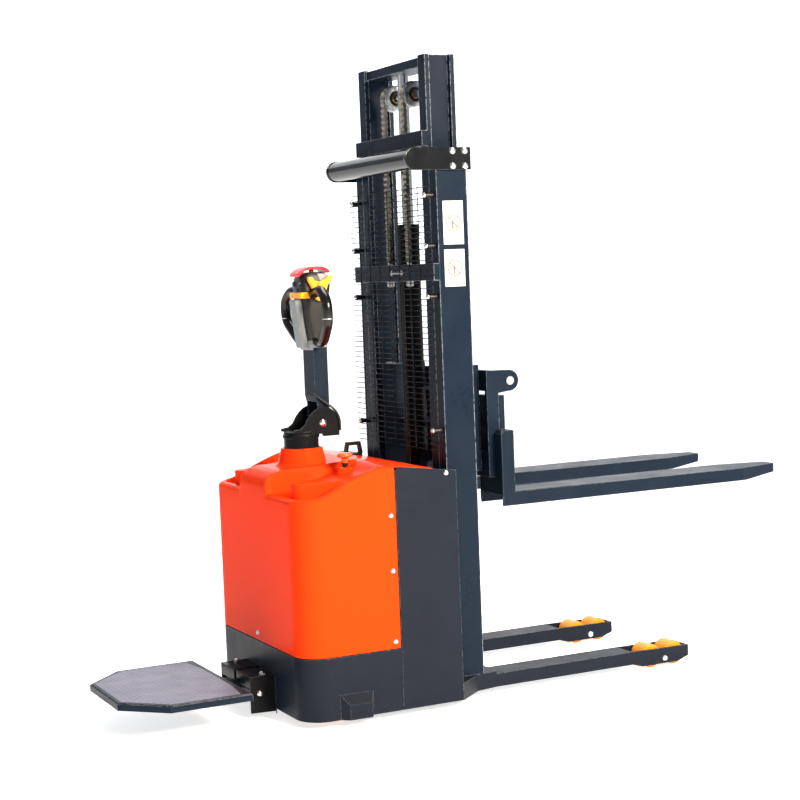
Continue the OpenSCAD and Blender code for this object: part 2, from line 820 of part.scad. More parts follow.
// Column tube with the forked bracket that holds the tiller on its top.
module steering_column() {
    color("#2b2e33") {
        difference() {
            translate([column_x, 0, 560]) cylinder(h = ring_z + 8 - 560, r = column_r, $fn = 64);
            translate([column_x, 0, 550]) cylinder(h = ring_z - 560, r = column_r - 6, $fn = 64);
        }
        both_sides() difference() {
            union() {
                side_plate(cheek_in, cheek_out, [[column_x - 18, ring_z + 8], [column_x + 52, ring_z + 8],
                    [column_x + 56, ring_z - 10], [column_x + 126, ring_z - 10],
                        [column_x + 126, pivot_h + 16],
                    [column_x + 108, pivot_h + 40], [arm_x + 20, pivot_h + 46], [arm_x - 6, pivot_h + 34],
                    [column_x + 26, pivot_h + 4], [column_x - 18, ring_z + 20]]);
                block([column_x + 96, cheek_in - 12, ring_z - 10],
                    [column_x + 104, cheek_in, pivot_h + 10]);
            }
            y_rod(arm_x, pivot_h, 9 + shaft_play, 0, 100);
        }
        block([column_x + 96, -cheek_in, ring_z - 10], [column_x + 104, cheek_in, ring_z + 12]);
    }
}

module tiller_pin() {
    color("#d8dade") {
        y_rod(arm_x, pivot_h, 9, -cheek_out, cheek_out);
        both_sides() translate([arm_x, cheek_out, pivot_h]) rotate([-90, 0, 0]) dome_screw(14, 4, 1);
    }
}

module tiller_arm() {
    color("#2c3946") difference() {
        union() {
            block([arm_x - 19, -arm_half, pivot_h + 20], [arm_x + 30, arm_half, pivot_h + 246]);
            both_sides() y_rod(arm_x, pivot_h, 22, arm_half - 8, arm_half);
            both_sides() block([arm_x - 12, arm_half - 8, pivot_h], [arm_x + 22, arm_half, pivot_h + 30]);
        }
        block([arm_x - 14, -arm_half + 5, pivot_h - 40], [arm_x + 25, arm_half - 5, pivot_h + 240]);
        side_plate(-100, 100, [[arm_x - 60, pivot_h + 88], [arm_x - 19, pivot_h + 88],
            [arm_x - 12, pivot_h + 60],
            [arm_x - 12, pivot_h + 22], [arm_x - 60, pivot_h + 22]]);
        y_rod(arm_x, pivot_h, 9 + shaft_play, -100, 100);
    }
}

// Cable that leaves the arm, passes over the bracket's edge and enters the bracket's foot.
module tiller_cable() {
    cable_y = -cheek_out - 4 - gap;
    points = [[arm_x - 10, -arm_half - 4 - gap, pivot_h + 82], [arm_x + 16, -arm_half - 6, pivot_h + 70],
        [arm_x + 46, cable_y, pivot_h + 52], [arm_x + 66, cable_y, pivot_h + 38],
            [arm_x + 77, cable_y, pivot_h + 12],
        [arm_x + 77, cable_y, pivot_h - 22]];
    color("#101214") pipe(points, 4, $fn = 16);
}

// Side view of the tiller head, which fans out towards its top.
module head_body() {
    color("#1b1c20") difference() {
        side_plate(-48, 48, [[head_x - 30, pivot_h + 246], [head_x + 30, pivot_h + 246],
            [head_x + 38, head_z - 90],
            [head_x + 56, head_z + 20], [head_x + 30, head_z + 44], [head_x - 20, head_z + 46],
            [head_x - 48, head_z + 22], [head_x - 44, head_z - 40], [head_x - 36, head_z - 50]]);
        y_rod(head_x + 8, head_z, 8 + shaft_play, -60, 60);
        translate([head_x + 4, 0, head_z + 24]) cylinder(h = 40, r = 8 + shaft_play);
        for (y = [-24, 0, 24])
            x_rod(y, head_z + 6 - (y == 0 ? 22 : 0), 8.2, head_x - 60, head_x - 24);
    }
}

module head_cover() {
    color("#a7acb2") side_plate(-26, 26, [[head_x - 30 - gap, pivot_h + 246],
        [head_x - 36 - gap, head_z - 50],
        [head_x - 62, head_z - 50], [head_x - 52, pivot_h + 246]]);
}

// One closed hand loop beside the head.
module grip_loop() {
    top_z = head_z - 30;
    low_z = head_z - 184;
    points = [[head_x - 19, 40, top_z], [head_x - 19, grip_y - 22, top_z],
        [head_x - 19, grip_y, top_z - 22],
        [head_x - 17, grip_y, head_z - 105], [head_x - 8, 96, low_z], [head_x - 8, 30, low_z]];
    pipe(points, grip_d / 2);
}

module grips() {
    color("#141518") difference() {
        both_sides() grip_loop();
        block([head_x - 60, -48, pivot_h + 240], [head_x + 60, 48, head_z + 60]);
    }
}

module throttle() {
    color("#f2a51e") {
        y_rod(head_x + 8, head_z, 8, -52, 52);
        both_sides() {
            y_rod(head_x + 8, head_z, 17, 49, 64);
            side_plate(50, 62, [[head_x - 4, head_z - 12], [head_x + 20, head_z - 12],
                [head_x + 46, head_z + 24],
                [head_x + 34, head_z + 30], [head_x + 14, head_z + 14], [head_x - 2, head_z + 14],
                [head_x - 22, head_z + 26], [head_x - 32, head_z + 16]]);
        }
    }
}

module belly_button() {
    color("#e3222c") {
        translate([head_x + 4, 0, head_z + 30]) cylinder(h = 24, r = 8);
        side_plate(-40, 40, [[head_x - 54, head_z + 31], [head_x - 36, head_z + 47],
            [head_x - 20, head_z + 52],
            [head_x + 31, head_z + 50], [head_x + 54, head_z + 34], [head_x + 60, head_z + 39],
                [head_x + 36, head_z + 58],
            [head_x - 18, head_z + 62], [head_x - 41, head_z + 55], [head_x - 60, head_z + 38]]);
    }
}

// Round push button in the head's rear face.
module push_button(y, z) {
    x_rod(y, z, 8, head_x - 53, head_x - 31);
}

module lift_button() {
    color("#3a6fb0") push_button(24, head_z + 6);
}

module lower_button() {
    color("#3a6fb0") push_button(-24, head_z + 6);
}

module horn_button() {
    color("#c8321f") push_button(0, head_z - 16);
}

// ---- Emergency stop and battery connector ----

module stop_knob() {
    color("#f08a2c") {
        translate([stop_x, stop_y, side_h - 32]) cylinder(h = 40, r = 8);
        translate([stop_x, stop_y, side_h + 8]) cylinder(h = 10, r = 14);
        translate([stop_x, stop_y, side_h + 18]) cylinder(h = 8, r1 = 22, r2 = 25);
        translate([stop_x, stop_y, side_h + 26]) cylinder(h = 8, r1 = 25, r2 = 16);
    }
}

connector_x = mast_x - 211;
connector_y = 200;

module connector_base() {
    color("#17181b") {
        side_plate(connector_y - 8, connector_y + 8, [[connector_x - 34, side_low_h + 16],
            [connector_x - 22, side_low_h + 16],
            [connector_x - 18, side_low_h + 44], [connector_x + 18, side_low_h + 44],
                [connector_x + 22, side_low_h + 16],
            [connector_x + 34, side_low_h + 16], [connector_x + 26, side_low_h + 56],
                [connector_x - 26, side_low_h + 56]]);
        block([connector_x - 34, connector_y - 20, side_low_h + 2],
            [connector_x + 26, connector_y + 20, side_low_h + 18]);
    }
}

// ---- Casters ----

module caster_fork() {
    translate([caster_x, caster_y, 0]) {
        translate([0, 0, 150]) cylinder(h = 14.5, r = 34);
        translate([0, 0, 150]) cylinder(h = 24 + plate_t, r = 10);
        both_sides() side_plate(caster_w / 2 + 2, caster_w / 2 + 8, [[-30, 150], [24, 150],
            [-caster_trail + 14, caster_d / 2 - 12],
            [-caster_trail - 14, caster_d / 2 - 12], [-caster_trail - 16, caster_d / 2 + 12]]);
        block([-30, -caster_w / 2 - 8, 142], [24, caster_w / 2 + 8, 150]);
        y_rod(-caster_trail, caster_d / 2, 8, -caster_w / 2 - 8, caster_w / 2 + 8);
    }
}

module caster_left() {
    color("#7d838a") caster_fork();
}

module caster_right() {
    color("#7d838a") mirror([0, 1, 0]) caster_fork();
}

module caster_roller() {
    translate([caster_x - caster_trail, caster_y, caster_d / 2]) difference() {
        y_rod(0, 0, caster_d / 2, -caster_w / 2, caster_w / 2);
        y_rod(0, 0, 8 + shaft_play, -caster_w / 2 - 1, caster_w / 2 + 1);
    }
}

module caster_wheel_left() {
    color("#e89a1d") caster_roller();
}

module caster_wheel_right() {
    color("#e89a1d") mirror([0, 1, 0]) caster_roller();
}

// ---- Load wheels ----

rocker_in = leg_in + plate_t + 3;
rocker_out = leg_out - plate_t - 3;

module bogie() {
    difference() {
        for (y = [rocker_in, rocker_out - 6])
            side_plate(y, y + 6, [[mast_x + bogie_x - 60, 34], [mast_x + bogie_x - 20, 18],
                [mast_x + bogie_x + 20, 18],
                [mast_x + bogie_x + 60, 34], [mast_x + bogie_x + 56, 52], [mast_x + bogie_x - 56, 52]]);
        y_rod(mast_x + bogie_x, bogie_pin_z, bogie_pin_r + shaft_play, leg_in, leg_out);
    }
    for (x = [-bogie_base / 2, bogie_base / 2])
        y_rod(mast_x + bogie_x + x, load_wheel_d / 2, 7, rocker_in, rocker_out);
}

module bogie_left() {
    color("#5d656e") bogie();
}

module bogie_right() {
    color("#5d656e") mirror([0, 1, 0]) bogie();
}

module load_wheel(x) {
    color("#e89a1d") difference() {
        y_rod(mast_x + bogie_x + x, load_wheel_d / 2, load_wheel_d / 2, rocker_in + 8, rocker_out - 8);
        y_rod(mast_x + bogie_x + x, load_wheel_d / 2, 7 + shaft_play, rocker_in, rocker_out);
    }
}

module load_wheel_lf() {
    load_wheel(bogie_base / 2);
}

module load_wheel_lr() {
    load_wheel(-bogie_base / 2);
}

module load_wheel_rf() {
    mirror([0, 1, 0]) load_wheel(bogie_base / 2);
}

module load_wheel_rr() {
    mirror([0, 1, 0]) load_wheel(-bogie_base / 2);
}

// ---- Platform ----

bracket_half = bracket_w / 2;
bracket_rear = rear_x - 86;
bracket_top = pin_z + 55;
slot_half = 10;

module platform_bracket() {
    color("#2b3037") {
        both_sides() {
            difference() {
                side_plate(bracket_half - 6, bracket_half, [[bracket_rear, 20], [rear_x, 17],
                    [rear_x, bracket_top],
                    [bracket_rear, bracket_top]]);
                y_rod(pin_x, pin_z, 8 + shaft_play, bracket_half - 10, bracket_half + 1);
            }
            block([bracket_rear, slot_half, bracket_top - 8], [rear_x, bracket_half - 6, bracket_top]);
            block([bracket_rear, slot_half, pin_z + 18],
                [bracket_rear + 6, bracket_half - 6, bracket_top - 8]);
        }
    }
}

module platform_pin() {
    color("#d8dade") {
        y_rod(pin_x, pin_z, 8, -bracket_half, bracket_half);
        both_sides() translate([pin_x, bracket_half, pin_z]) rotate([-90, 0, 0]) dome_screw(11, 4, 1);
        both_sides() translate([rear_x - 37, bracket_half - 20, bracket_top]) {
            cylinder(h = 5, r = 11, $fn = 6);
            translate([0, 0, 5]) dome_screw(8, 4, 1);
        }
    }
}

deck_top = platform_h - mat_t;
platform_rear_half = 151;
platform_corner = 129;

module platform() {
    color("#4c5560") {
        difference() {
            union() {
                y_rod(pin_x, pin_z, 15, -bracket_half + 7, bracket_half - 7);
                side_plate(-7, 7, [[pin_x, pin_z - 15], [pin_x, pin_z + 15],
                    [platform_front, deck_top - 1],
                    [platform_front - 10, deck_top - 1], [platform_front - 10, deck_top - deck_t]]);
            }
            y_rod(pin_x, pin_z, 8 + shaft_play, -bracket_half, bracket_half);
        }
        translate([0, 0, deck_top - deck_t]) linear_extrude(height = deck_t) platform_plan(0);
        translate([0, 0, deck_top]) linear_extrude(height = mat_t) platform_plan(4);
    }
}

// Plan of the platform: square at the front, chamfered at the two rear corners.
module platform_plan(d) {
    half = platform_w / 2;
    polygon([[platform_front - d, d - half], [platform_front - d, half - d],
        [platform_rear + platform_corner, half - d],
        [platform_rear + d, platform_rear_half - d], [platform_rear + d, d - platform_rear_half],
        [platform_rear + platform_corner, d - half]]);
}

chassis();
legs();
outer_mast();
tie_bar();
guard_mesh();
mast_bolts();
hood();
hood_screws();
battery();
power_pack();
controller();
lift_barrel();
lift_hoses();
chain_anchors();
chain_rear();
leg_bolts();
platform_bracket();
platform_pin();
slew_bearing();
connector_base();
inner_mast();
piston_rod();
chain_arc();
chain_front();
mast_rollers_top();
mast_rollers_bottom();
chain_pulleys();
carriage();
carriage_pins();
fork_left();
fork_right();
carriage_rollers_top();
carriage_rollers_bottom();
steering_column();
drive_unit();
drive_motor();
tiller_pin();
tiller_cable();
drive_wheel();
tiller_arm();
head_body();
head_cover();
grips();
throttle();
belly_button();
lift_button();
lower_button();
horn_button();
caster_left();
caster_right();
caster_wheel_left();
caster_wheel_right();
bogie_left();
bogie_right();
load_wheel_lf();
load_wheel_lr();
load_wheel_rf();
load_wheel_rr();
platform();
stop_knob();
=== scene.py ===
import math
import random

import bpy
from mathutils import Matrix, Vector


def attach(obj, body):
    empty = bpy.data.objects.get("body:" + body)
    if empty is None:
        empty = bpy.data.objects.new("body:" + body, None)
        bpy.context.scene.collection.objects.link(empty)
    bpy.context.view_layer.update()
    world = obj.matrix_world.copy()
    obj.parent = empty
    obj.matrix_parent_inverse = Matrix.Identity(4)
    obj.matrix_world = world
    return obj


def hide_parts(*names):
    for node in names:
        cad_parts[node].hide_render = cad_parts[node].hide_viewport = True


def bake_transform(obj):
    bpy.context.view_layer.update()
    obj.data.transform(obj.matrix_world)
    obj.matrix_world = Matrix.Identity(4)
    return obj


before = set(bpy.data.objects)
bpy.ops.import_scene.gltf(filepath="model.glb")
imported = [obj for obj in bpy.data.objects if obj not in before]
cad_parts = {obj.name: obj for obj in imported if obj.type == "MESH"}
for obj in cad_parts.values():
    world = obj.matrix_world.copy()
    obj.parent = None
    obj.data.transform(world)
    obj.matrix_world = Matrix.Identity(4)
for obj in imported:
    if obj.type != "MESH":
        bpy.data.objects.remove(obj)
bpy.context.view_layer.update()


# ---- Stage ----
# A plain pale floor, a soft white surround and three lamps: a warm key, a cool side fill and a top box.

def to_linear(code):
    """Turns a hex sRGB colour into linear RGBA."""
    values = [int(code[k:k + 2], 16) / 255 for k in (1, 3, 5)]
    return [v / 12.92 if v <= 0.04045 else ((v + 0.055) / 1.055) ** 2.4 for v in values] + [1.0]


def add_node(material, kind, links=(), **settings):
    """Adds a shader node, sets its properties or input values and links its inputs."""
    node = material.node_tree.nodes.new(kind)
    for key, value in settings.items():
        name = key.replace("_", " ").title().replace("Ior", "IOR")
        if name in node.inputs:
            node.inputs[name].default_value = value
        else:
            setattr(node, key, value)
    for source, target in links:
        material.node_tree.links.new(source, node.inputs[target])
    return node


def new_material(name, **shader_values):
    """Makes an empty material with one Principled shader, and returns it with its shader."""
    material = bpy.data.materials.new(name)
    material.use_nodes = True
    material.node_tree.nodes.clear()
    shader = add_node(material, "ShaderNodeBsdfPrincipled", **shader_values)
    add_node(material, "ShaderNodeOutputMaterial", links=[(shader.outputs[0], "Surface")])
    return material, shader


def plug(material, source, shader, socket):
    """Links an output to one socket of the shader."""
    material.node_tree.links.new(source, shader.inputs[socket])


FLOOR_HALF = 150.0
bpy.ops.mesh.primitive_plane_add(size=2 * FLOOR_HALF, location=(0, 0, 0))
floor = bpy.context.object
floor.name = "floor"
# Matte white paper with a glow of its own: it stays white and takes only a faint shadow.
floor_paper, floor_shader = new_material("floor_matte_white_paper", base_color=to_linear("#F4F4F3"),
                                         roughness=0.85)
floor_grain = add_node(floor_paper, "ShaderNodeTexNoise", scale=3.0, detail=4.0)
floor_tone = add_node(floor_paper, "ShaderNodeMapRange", links=[(floor_grain.outputs[0], "Value")],
                      to_min=0.80, to_max=0.88)
plug(floor_paper, floor_tone.outputs[0], floor_shader, "Roughness")
floor_shader.inputs["Emission Color"].default_value = (1.0, 1.0, 1.0, 1.0)
floor_shader.inputs["Emission Strength"].default_value = 0.72
floor.data.materials.append(floor_paper)

WALL_TURN = math.radians(-26.15)
bpy.ops.mesh.primitive_plane_add(size=90, location=(22.0, 46.0, 20.0), rotation=(math.pi / 2, 0, WALL_TURN))
backdrop = bpy.context.object
backdrop.name = "backdrop"
# The same paper as a lit wall, even and pure white.
backdrop_white, backdrop_shader = new_material("backdrop_lit_white_paper", base_color=to_linear("#F4F4F3"),
                                               roughness=0.9)
backdrop_shader.inputs["Emission Color"].default_value = (1.0, 1.0, 1.0, 1.0)
backdrop_shader.inputs["Emission Strength"].default_value = 1.05
backdrop.data.materials.append(backdrop_white)

world = bpy.data.worlds.new("studio")
bpy.context.scene.world = world
world.use_nodes = True
world.node_tree.nodes["Background"].inputs["Color"].default_value = (0.88, 0.93, 1.0, 1.0)
world.node_tree.nodes["Background"].inputs["Strength"].default_value = 0.36
bpy.context.scene.view_settings.view_transform = "Standard"


def add_lamp(name, place, target, size, power, colour):
    """Adds a square area lamp that points at a place on the machine."""
    lamp = bpy.data.lights.new(name, "AREA")
    lamp.shape = "SQUARE"
    lamp.size = size
    lamp.energy = power
    lamp.color = colour
    holder = bpy.data.objects.new(name, lamp)
    bpy.context.collection.objects.link(holder)
    holder.location = place
    holder.rotation_euler = (Vector(target) - Vector(place)).to_track_quat("-Z", "Y").to_euler()


add_lamp("key", (0.9, -5.4, 3.4), (-0.3, -0.6, 0.5), 1.6, 1000, (1.0, 0.83, 0.60))
add_lamp("side_fill", (-5.5, 0.6, 2.0), (-0.3, 0.0, 0.8), 2.2, 6, (1.0, 0.97, 0.94))
add_lamp("top_box", (0.6, 0.8, 4.6), (-0.3, 0.0, 0.7), 2.6, 190, (1.0, 0.99, 0.98))

YAW = math.radians(63.8543)
PITCH = math.radians(-4.2161)
ROLL = math.radians(-2.2291)
CAMERA_AT = (-2.6641, -5.1354, 1.3940)
LENS_MM = 76.57
forward = Vector((math.cos(YAW) * math.cos(PITCH), math.sin(YAW) * math.cos(PITCH), math.sin(PITCH)))
level = Vector((math.sin(YAW), -math.cos(YAW), 0.0))
upright = level.cross(forward)
right = level * math.cos(ROLL) + upright * math.sin(ROLL)
above = upright * math.cos(ROLL) - level * math.sin(ROLL)
camera = bpy.data.objects.new("camera", bpy.data.cameras.new("camera"))
bpy.context.collection.objects.link(camera)
camera.data.lens = LENS_MM
camera.data.sensor_width = 36.0
camera.matrix_world = Matrix.Translation(CAMERA_AT) @ Matrix(
    [[right[k], above[k], -forward[k]] for k in range(3)]).to_4x4()
bpy.context.scene.camera = camera


# ---- Chassis, legs and mast rails ----
# Welded steel plate and hot-rolled channel, shot-blasted and powder-coated dark blue-grey.
# The coat shows fine orange peel; its sharp edges take a lighter steel tone, partly scuffing, partly painted
# highlight.

def painted_steel(name, colour, worn_and_lit_colour, roughness=0.36, wear_and_highlight=1.0, peel_mm=2.2, edge_mm=3.0, ior=1.15):
    """Semi-gloss powder coat on steel: orange-peel bump, uneven gloss, and edges lightened partly as scuffing
    and partly as a painted highlight.
    The low IOR keeps a dark coat dark beside the white floor."""
    material, shader = new_material(name, base_color=to_linear(colour), roughness=roughness, ior=ior)
    place = add_node(material, "ShaderNodeTexCoord").outputs["Object"]
    peel = add_node(material, "ShaderNodeTexNoise", links=[(place, "Vector")], scale=1000 / peel_mm,
                    detail=2.0)
    bump = add_node(material, "ShaderNodeBump", links=[(peel.outputs[0], "Height")], strength=0.10,
                    distance=0.0004)
    rounded = add_node(material, "ShaderNodeBevel", samples=6, radius=edge_mm / 1000)
    material.node_tree.links.new(rounded.outputs[0], bump.inputs["Normal"])
    plug(material, bump.outputs[0], shader, "Normal")
    cloud = add_node(material, "ShaderNodeTexNoise", links=[(place, "Vector")], scale=7.0, detail=6.0,
                     roughness=0.65)
    gloss = add_node(material, "ShaderNodeMapRange", links=[(cloud.outputs[0], "Value")],
                     from_min=0.3, from_max=0.7, to_min=roughness - 0.06, to_max=roughness + 0.10)
    plug(material, gloss.outputs[0], shader, "Roughness")
    flat = add_node(material, "ShaderNodeNewGeometry")
    match = add_node(material, "ShaderNodeVectorMath", operation="DOT_PRODUCT",
                     links=[(rounded.outputs[0], 0), (flat.outputs["Normal"], 1)])
    # Edge mask: sharp edges take the lighter edge colour, partly as scuffing and partly as a painted highlight
    # in place of the glint that the low IOR removes.
    edge = add_node(material, "ShaderNodeMapRange", links=[(match.outputs["Value"], "Value")],
                    from_min=0.985, from_max=0.80, to_min=0.0, to_max=1.0)
    edge_breakup_noise = add_node(material, "ShaderNodeTexNoise", links=[(place, "Vector")], scale=60.0, detail=5.0,
                     roughness=0.7)
    chipped_and_lit_share = add_node(material, "ShaderNodeMapRange", links=[(edge_breakup_noise.outputs[0], "Value")],
                       from_min=0.40, from_max=0.62, to_min=0.0, to_max=wear_and_highlight)
    rubbed_and_lit_edge = add_node(material, "ShaderNodeMath", operation="MULTIPLY",
                      links=[(edge.outputs[0], 0), (chipped_and_lit_share.outputs[0], 1)])
    dust = add_node(material, "ShaderNodeMix", data_type="RGBA", links=[(cloud.outputs[0], 0)])
    dust.inputs[6].default_value = [v * 0.82 for v in to_linear(colour)[:3]] + [1.0]
    dust.inputs[7].default_value = [min(1.0, v * 1.22 + 0.002) for v in to_linear(colour)[:3]] + [1.0]
    tone = add_node(material, "ShaderNodeMix", data_type="RGBA",
                    links=[(rubbed_and_lit_edge.outputs[0], 0), (dust.outputs[2], 6)])
    tone.inputs[7].default_value = to_linear(worn_and_lit_colour)
    plug(material, tone.outputs[2], shader, "Base Color")
    return material


def finish_nodes(material, *nodes):
    """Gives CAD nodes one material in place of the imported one."""
    for node in nodes:
        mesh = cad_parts[node].data
        mesh.materials.clear()
        mesh.materials.append(material)


# Powder coat over plate: a flat dark blue-grey with a soft, slightly mottled sheen.
frame_paint = painted_steel("powder_coat_blue_grey", "#151B27", "#7C848E")
# The same coat on the rails, their long edges painted a light line: a painted highlight, plus some scuffing.
mast_paint = painted_steel("powder_coat_mast", "#0E1A2A", "#9AA5B2", roughness=0.30, wear_and_highlight=2.0, edge_mm=5.0)
finish_nodes(frame_paint, "chassis", "legs")
finish_nodes(mast_paint, "outer_mast", "inner_mast")


# ---- Carriage and forks ----
# Fork blades and cheeks cut from plate and welded to the carriage, which hangs on rollers in the inner mast.
# They are powder-coated with the frame, and pallets scrape their edges.

# Powder coat with paler steel-toned edges: partly scuffing from loads, partly a painted highlight.
fork_paint = painted_steel("powder_coat_forks", "#0F1A2A", "#8C96A3", roughness=0.34)
finish_nodes(fork_paint, "carriage", "fork_left", "fork_right")


# ---- Tie tube, platform bracket and lift cylinder ----
# A bent tube between two bolted plates, a folded bracket and a drawn steel barrel, all painted black.

# Satin black paint: dark, with a broad soft highlight.
black_paint = painted_steel("satin_black_paint", "#0D0F13", "#5A5F66", roughness=0.24, wear_and_highlight=0.5)
# Stoved gloss enamel: black, with a narrow bright line along the tube.
black_enamel = painted_steel("gloss_black_enamel", "#0B0D11", "#5A5F66", roughness=0.10, wear_and_highlight=0.4, ior=1.5)
finish_nodes(black_enamel, "tie_bar")
finish_nodes(black_paint, "platform_bracket", "lift_barrel")


# ---- Fasteners, rollers and turned steel ----
# Zinc-plated screws and pins, a hard-chromed rod, and ground steel rollers with an oil film.

def plated_metal(name, colour, roughness, brush_mm=0.6, spread=0.12):
    """Bare or plated metal: fine turning marks and blotched gloss."""
    material, shader = new_material(name, base_color=to_linear(colour), metallic=1.0, roughness=roughness)
    place = add_node(material, "ShaderNodeTexCoord").outputs["Object"]
    marks = add_node(material, "ShaderNodeTexNoise", links=[(place, "Vector")], scale=1000 / brush_mm,
                     detail=3.0)
    bump = add_node(material, "ShaderNodeBump", links=[(marks.outputs[0], "Height")], strength=0.08,
                    distance=0.0002)
    plug(material, bump.outputs[0], shader, "Normal")
    cloud = add_node(material, "ShaderNodeTexNoise", links=[(place, "Vector")], scale=35.0, detail=5.0)
    gloss = add_node(material, "ShaderNodeMapRange", links=[(cloud.outputs[0], "Value")],
                     from_min=0.3, from_max=0.7, to_min=max(0.02, roughness - spread / 2),
                     to_max=roughness + spread)
    plug(material, gloss.outputs[0], shader, "Roughness")
    return material


# Bright zinc plate: nearly white, with small sparkling highlights.
zinc = plated_metal("bright_zinc_plate", "#D9DADB", 0.26)
# Hard chrome, ground and polished: a clean mirror line along the rod.
hard_chrome = plated_metal("hard_chrome", "#DCDFE2", 0.10, spread=0.05)
# Ground steel under an oil film: grey, with a smeared highlight.
ground_steel = plated_metal("ground_steel_oiled", "#8E9398", 0.34)
finish_nodes(zinc, "hood_screws", "chain_anchors", "leg_bolts", "platform_pin", "carriage_pins", "tiller_pin",
             "caster_left", "caster_right")
finish_nodes(hard_chrome, "piston_rod")
finish_nodes(ground_steel, "slew_bearing", "mast_rollers_top", "mast_rollers_bottom", "carriage_rollers_top",
             "carriage_rollers_bottom", "bogie_left", "bogie_right", "power_pack")


# ---- Power pack, motor and battery ----
# Sealed units under the hood: a moulded battery case and controller, and cast iron gear and motor housings.

def moulded_plastic(name, colour, roughness, grain_mm=0.7, grain=0.12, blotch=0.08, **sheen):
    """Injection-moulded plastic: spark-eroded grain, slight gloss changes."""
    material, shader = new_material(name, base_color=to_linear(colour), roughness=roughness,
                                    specular_ior_level=0.36, **sheen)
    place = add_node(material, "ShaderNodeTexCoord").outputs["Object"]
    pits = add_node(material, "ShaderNodeTexNoise", links=[(place, "Vector")], scale=1000 / grain_mm,
                    detail=2.0)
    bump = add_node(material, "ShaderNodeBump", links=[(pits.outputs[0], "Height")], strength=grain,
                    distance=0.0003)
    plug(material, bump.outputs[0], shader, "Normal")
    cloud = add_node(material, "ShaderNodeTexNoise", links=[(place, "Vector")], scale=14.0, detail=5.0)
    gloss = add_node(material, "ShaderNodeMapRange", links=[(cloud.outputs[0], "Value")],
                     from_min=0.3, from_max=0.7, to_min=max(0.02, roughness - blotch / 2),
                     to_max=roughness + blotch)
    plug(material, gloss.outputs[0], shader, "Roughness")
    return material


# Black ABS with a moulded grain: matt, and greyer where light grazes it.
black_abs = moulded_plastic("black_abs_grained", "#0C0D10", 0.38)
# Cast iron under a thin grey primer: dull and coarse.
cast_iron = painted_steel("cast_iron_primer", "#43474B", "#77797B", roughness=0.55, peel_mm=3.5)
finish_nodes(black_abs, "battery", "controller", "connector_base")
finish_nodes(cast_iron, "drive_unit", "drive_motor")


# ---- Wheels ----
# The drive wheel, caster wheels and load wheels: amber polyurethane cast on steel hubs and turned to size.

# Cast polyurethane: warm amber and waxy, with a faint mottle.
wheel_pu = moulded_plastic("cast_polyurethane_amber", "#E8901C", 0.30, grain_mm=3.0, grain=0.15)
finish_nodes(wheel_pu, "drive_wheel", "caster_wheel_left", "caster_wheel_right", "load_wheel_lf",
             "load_wheel_lr", "load_wheel_rf", "load_wheel_rr")


# ---- Lift hoses ----
# Two hydraulic hoses of black rubber, running straight up beside the barrel.

# Vulcanised rubber: dull black with a fine wrapped texture.
hose_rubber = moulded_plastic("black_hose_rubber", "#101113", 0.5, grain_mm=1.2, grain=0.2)
finish_nodes(hose_rubber, "lift_hoses")


# ---- Hood ----
# One large gloss red moulding over the drive unit, screwed to the chassis along its front edges.
# Its top slopes back in two sunk pockets, with a raised spine and a conical collar for the column.

# Gloss moulding in red: a smooth skin whose gloss turns orange under the warm lamp.
red_cover = moulded_plastic("gloss_red_cover", "#EA3810", 0.16, grain_mm=9.0, grain=0.05, ior=1.07,
                            specular_tint=(1.0, 0.34, 0.10, 1.0))
MAST_X = -0.0225
HOOD_REAR = MAST_X - 0.668
HOOD_FRONT = MAST_X - 0.3385
HOOD_HALF = 0.382
HOOD_LOW = 0.224
HOOD_CORNER = 0.085
EDGE_ROUND = 0.014
COLUMN_X = MAST_X - 0.487
# Heights of the top skin at distances from the hood's rear: along its sides, and along the spine.
SHOULDER = [(0.0, 0.712), (0.068, 0.717), (0.115, 0.734), (0.143, 0.750), (0.177, 0.765), (0.212, 0.778),
            (0.247, 0.790), (0.281, 0.797), (0.340, 0.799)]
SPINE = [(0.0, 0.742), (0.006, 0.755), (0.016, 0.767), (0.034, 0.778), (0.058, 0.783), (0.110, 0.785),
         (0.181, 0.788), (0.260, 0.795), (0.340, 0.799)]


def along(table, x):
    """Reads a height table at a distance from the hood's rear."""
    for (x0, z0), (x1, z1) in zip(table, table[1:]):
        if x <= x1:
            share = max(0.0, (x - x0) / (x1 - x0))
            return z0 + (z1 - z0) * share
    return table[-1][1]


def eased(value, low, high):
    """Smooth step from 0 at low to 1 at high."""
    share = min(1.0, max(0.0, (value - low) / (high - low)))
    return share * share * (3 - 2 * share)


def hood_height(x, y, edge):
    """Height of the hood's top skin before its outer edge is rounded."""
    back = x - HOOD_REAR
    rim = sum(along(SHOULDER, back + k * 0.008) for k in (-2, -1, 0, 1, 2)) / 5
    sunk = 0.021 * eased(edge, 0.024, 0.034) * (1 - eased(back, 0.262, 0.318))
    spine = sum(along(SPINE, back + k * 0.003) for k in (-1, 0, 1)) / 3
    raised = eased(abs(y), 0.117, 0.103)
    return (rim - sunk) * (1 - raised) + max(spine, rim - 0.004) * raised


def edge_steps(length, extra, coarse):
    """Places along a skin edge: close together where the skin bends, then evenly spaced."""
    bend = [0.0, 0.0008, 0.0022, 0.0042, 0.0070, 0.0104, 0.0140, 0.0185, 0.0235]
    step_down = [0.0255, 0.0275, 0.0295, 0.0315, 0.0345]
    marks = sorted(bend + step_down + extra)
    filled = [marks[0]]
    for mark in marks[1:]:
        count = max(1, math.ceil((mark - filled[-1]) / coarse - 0.01))
        start = filled[-1]
        filled += [start + (mark - start) * k / count for k in range(1, count + 1)]
    count = math.ceil((length - filled[-1]) / coarse)
    start = filled[-1]
    return filled + [start + (length - start) * k / count for k in range(1, count + 1)]


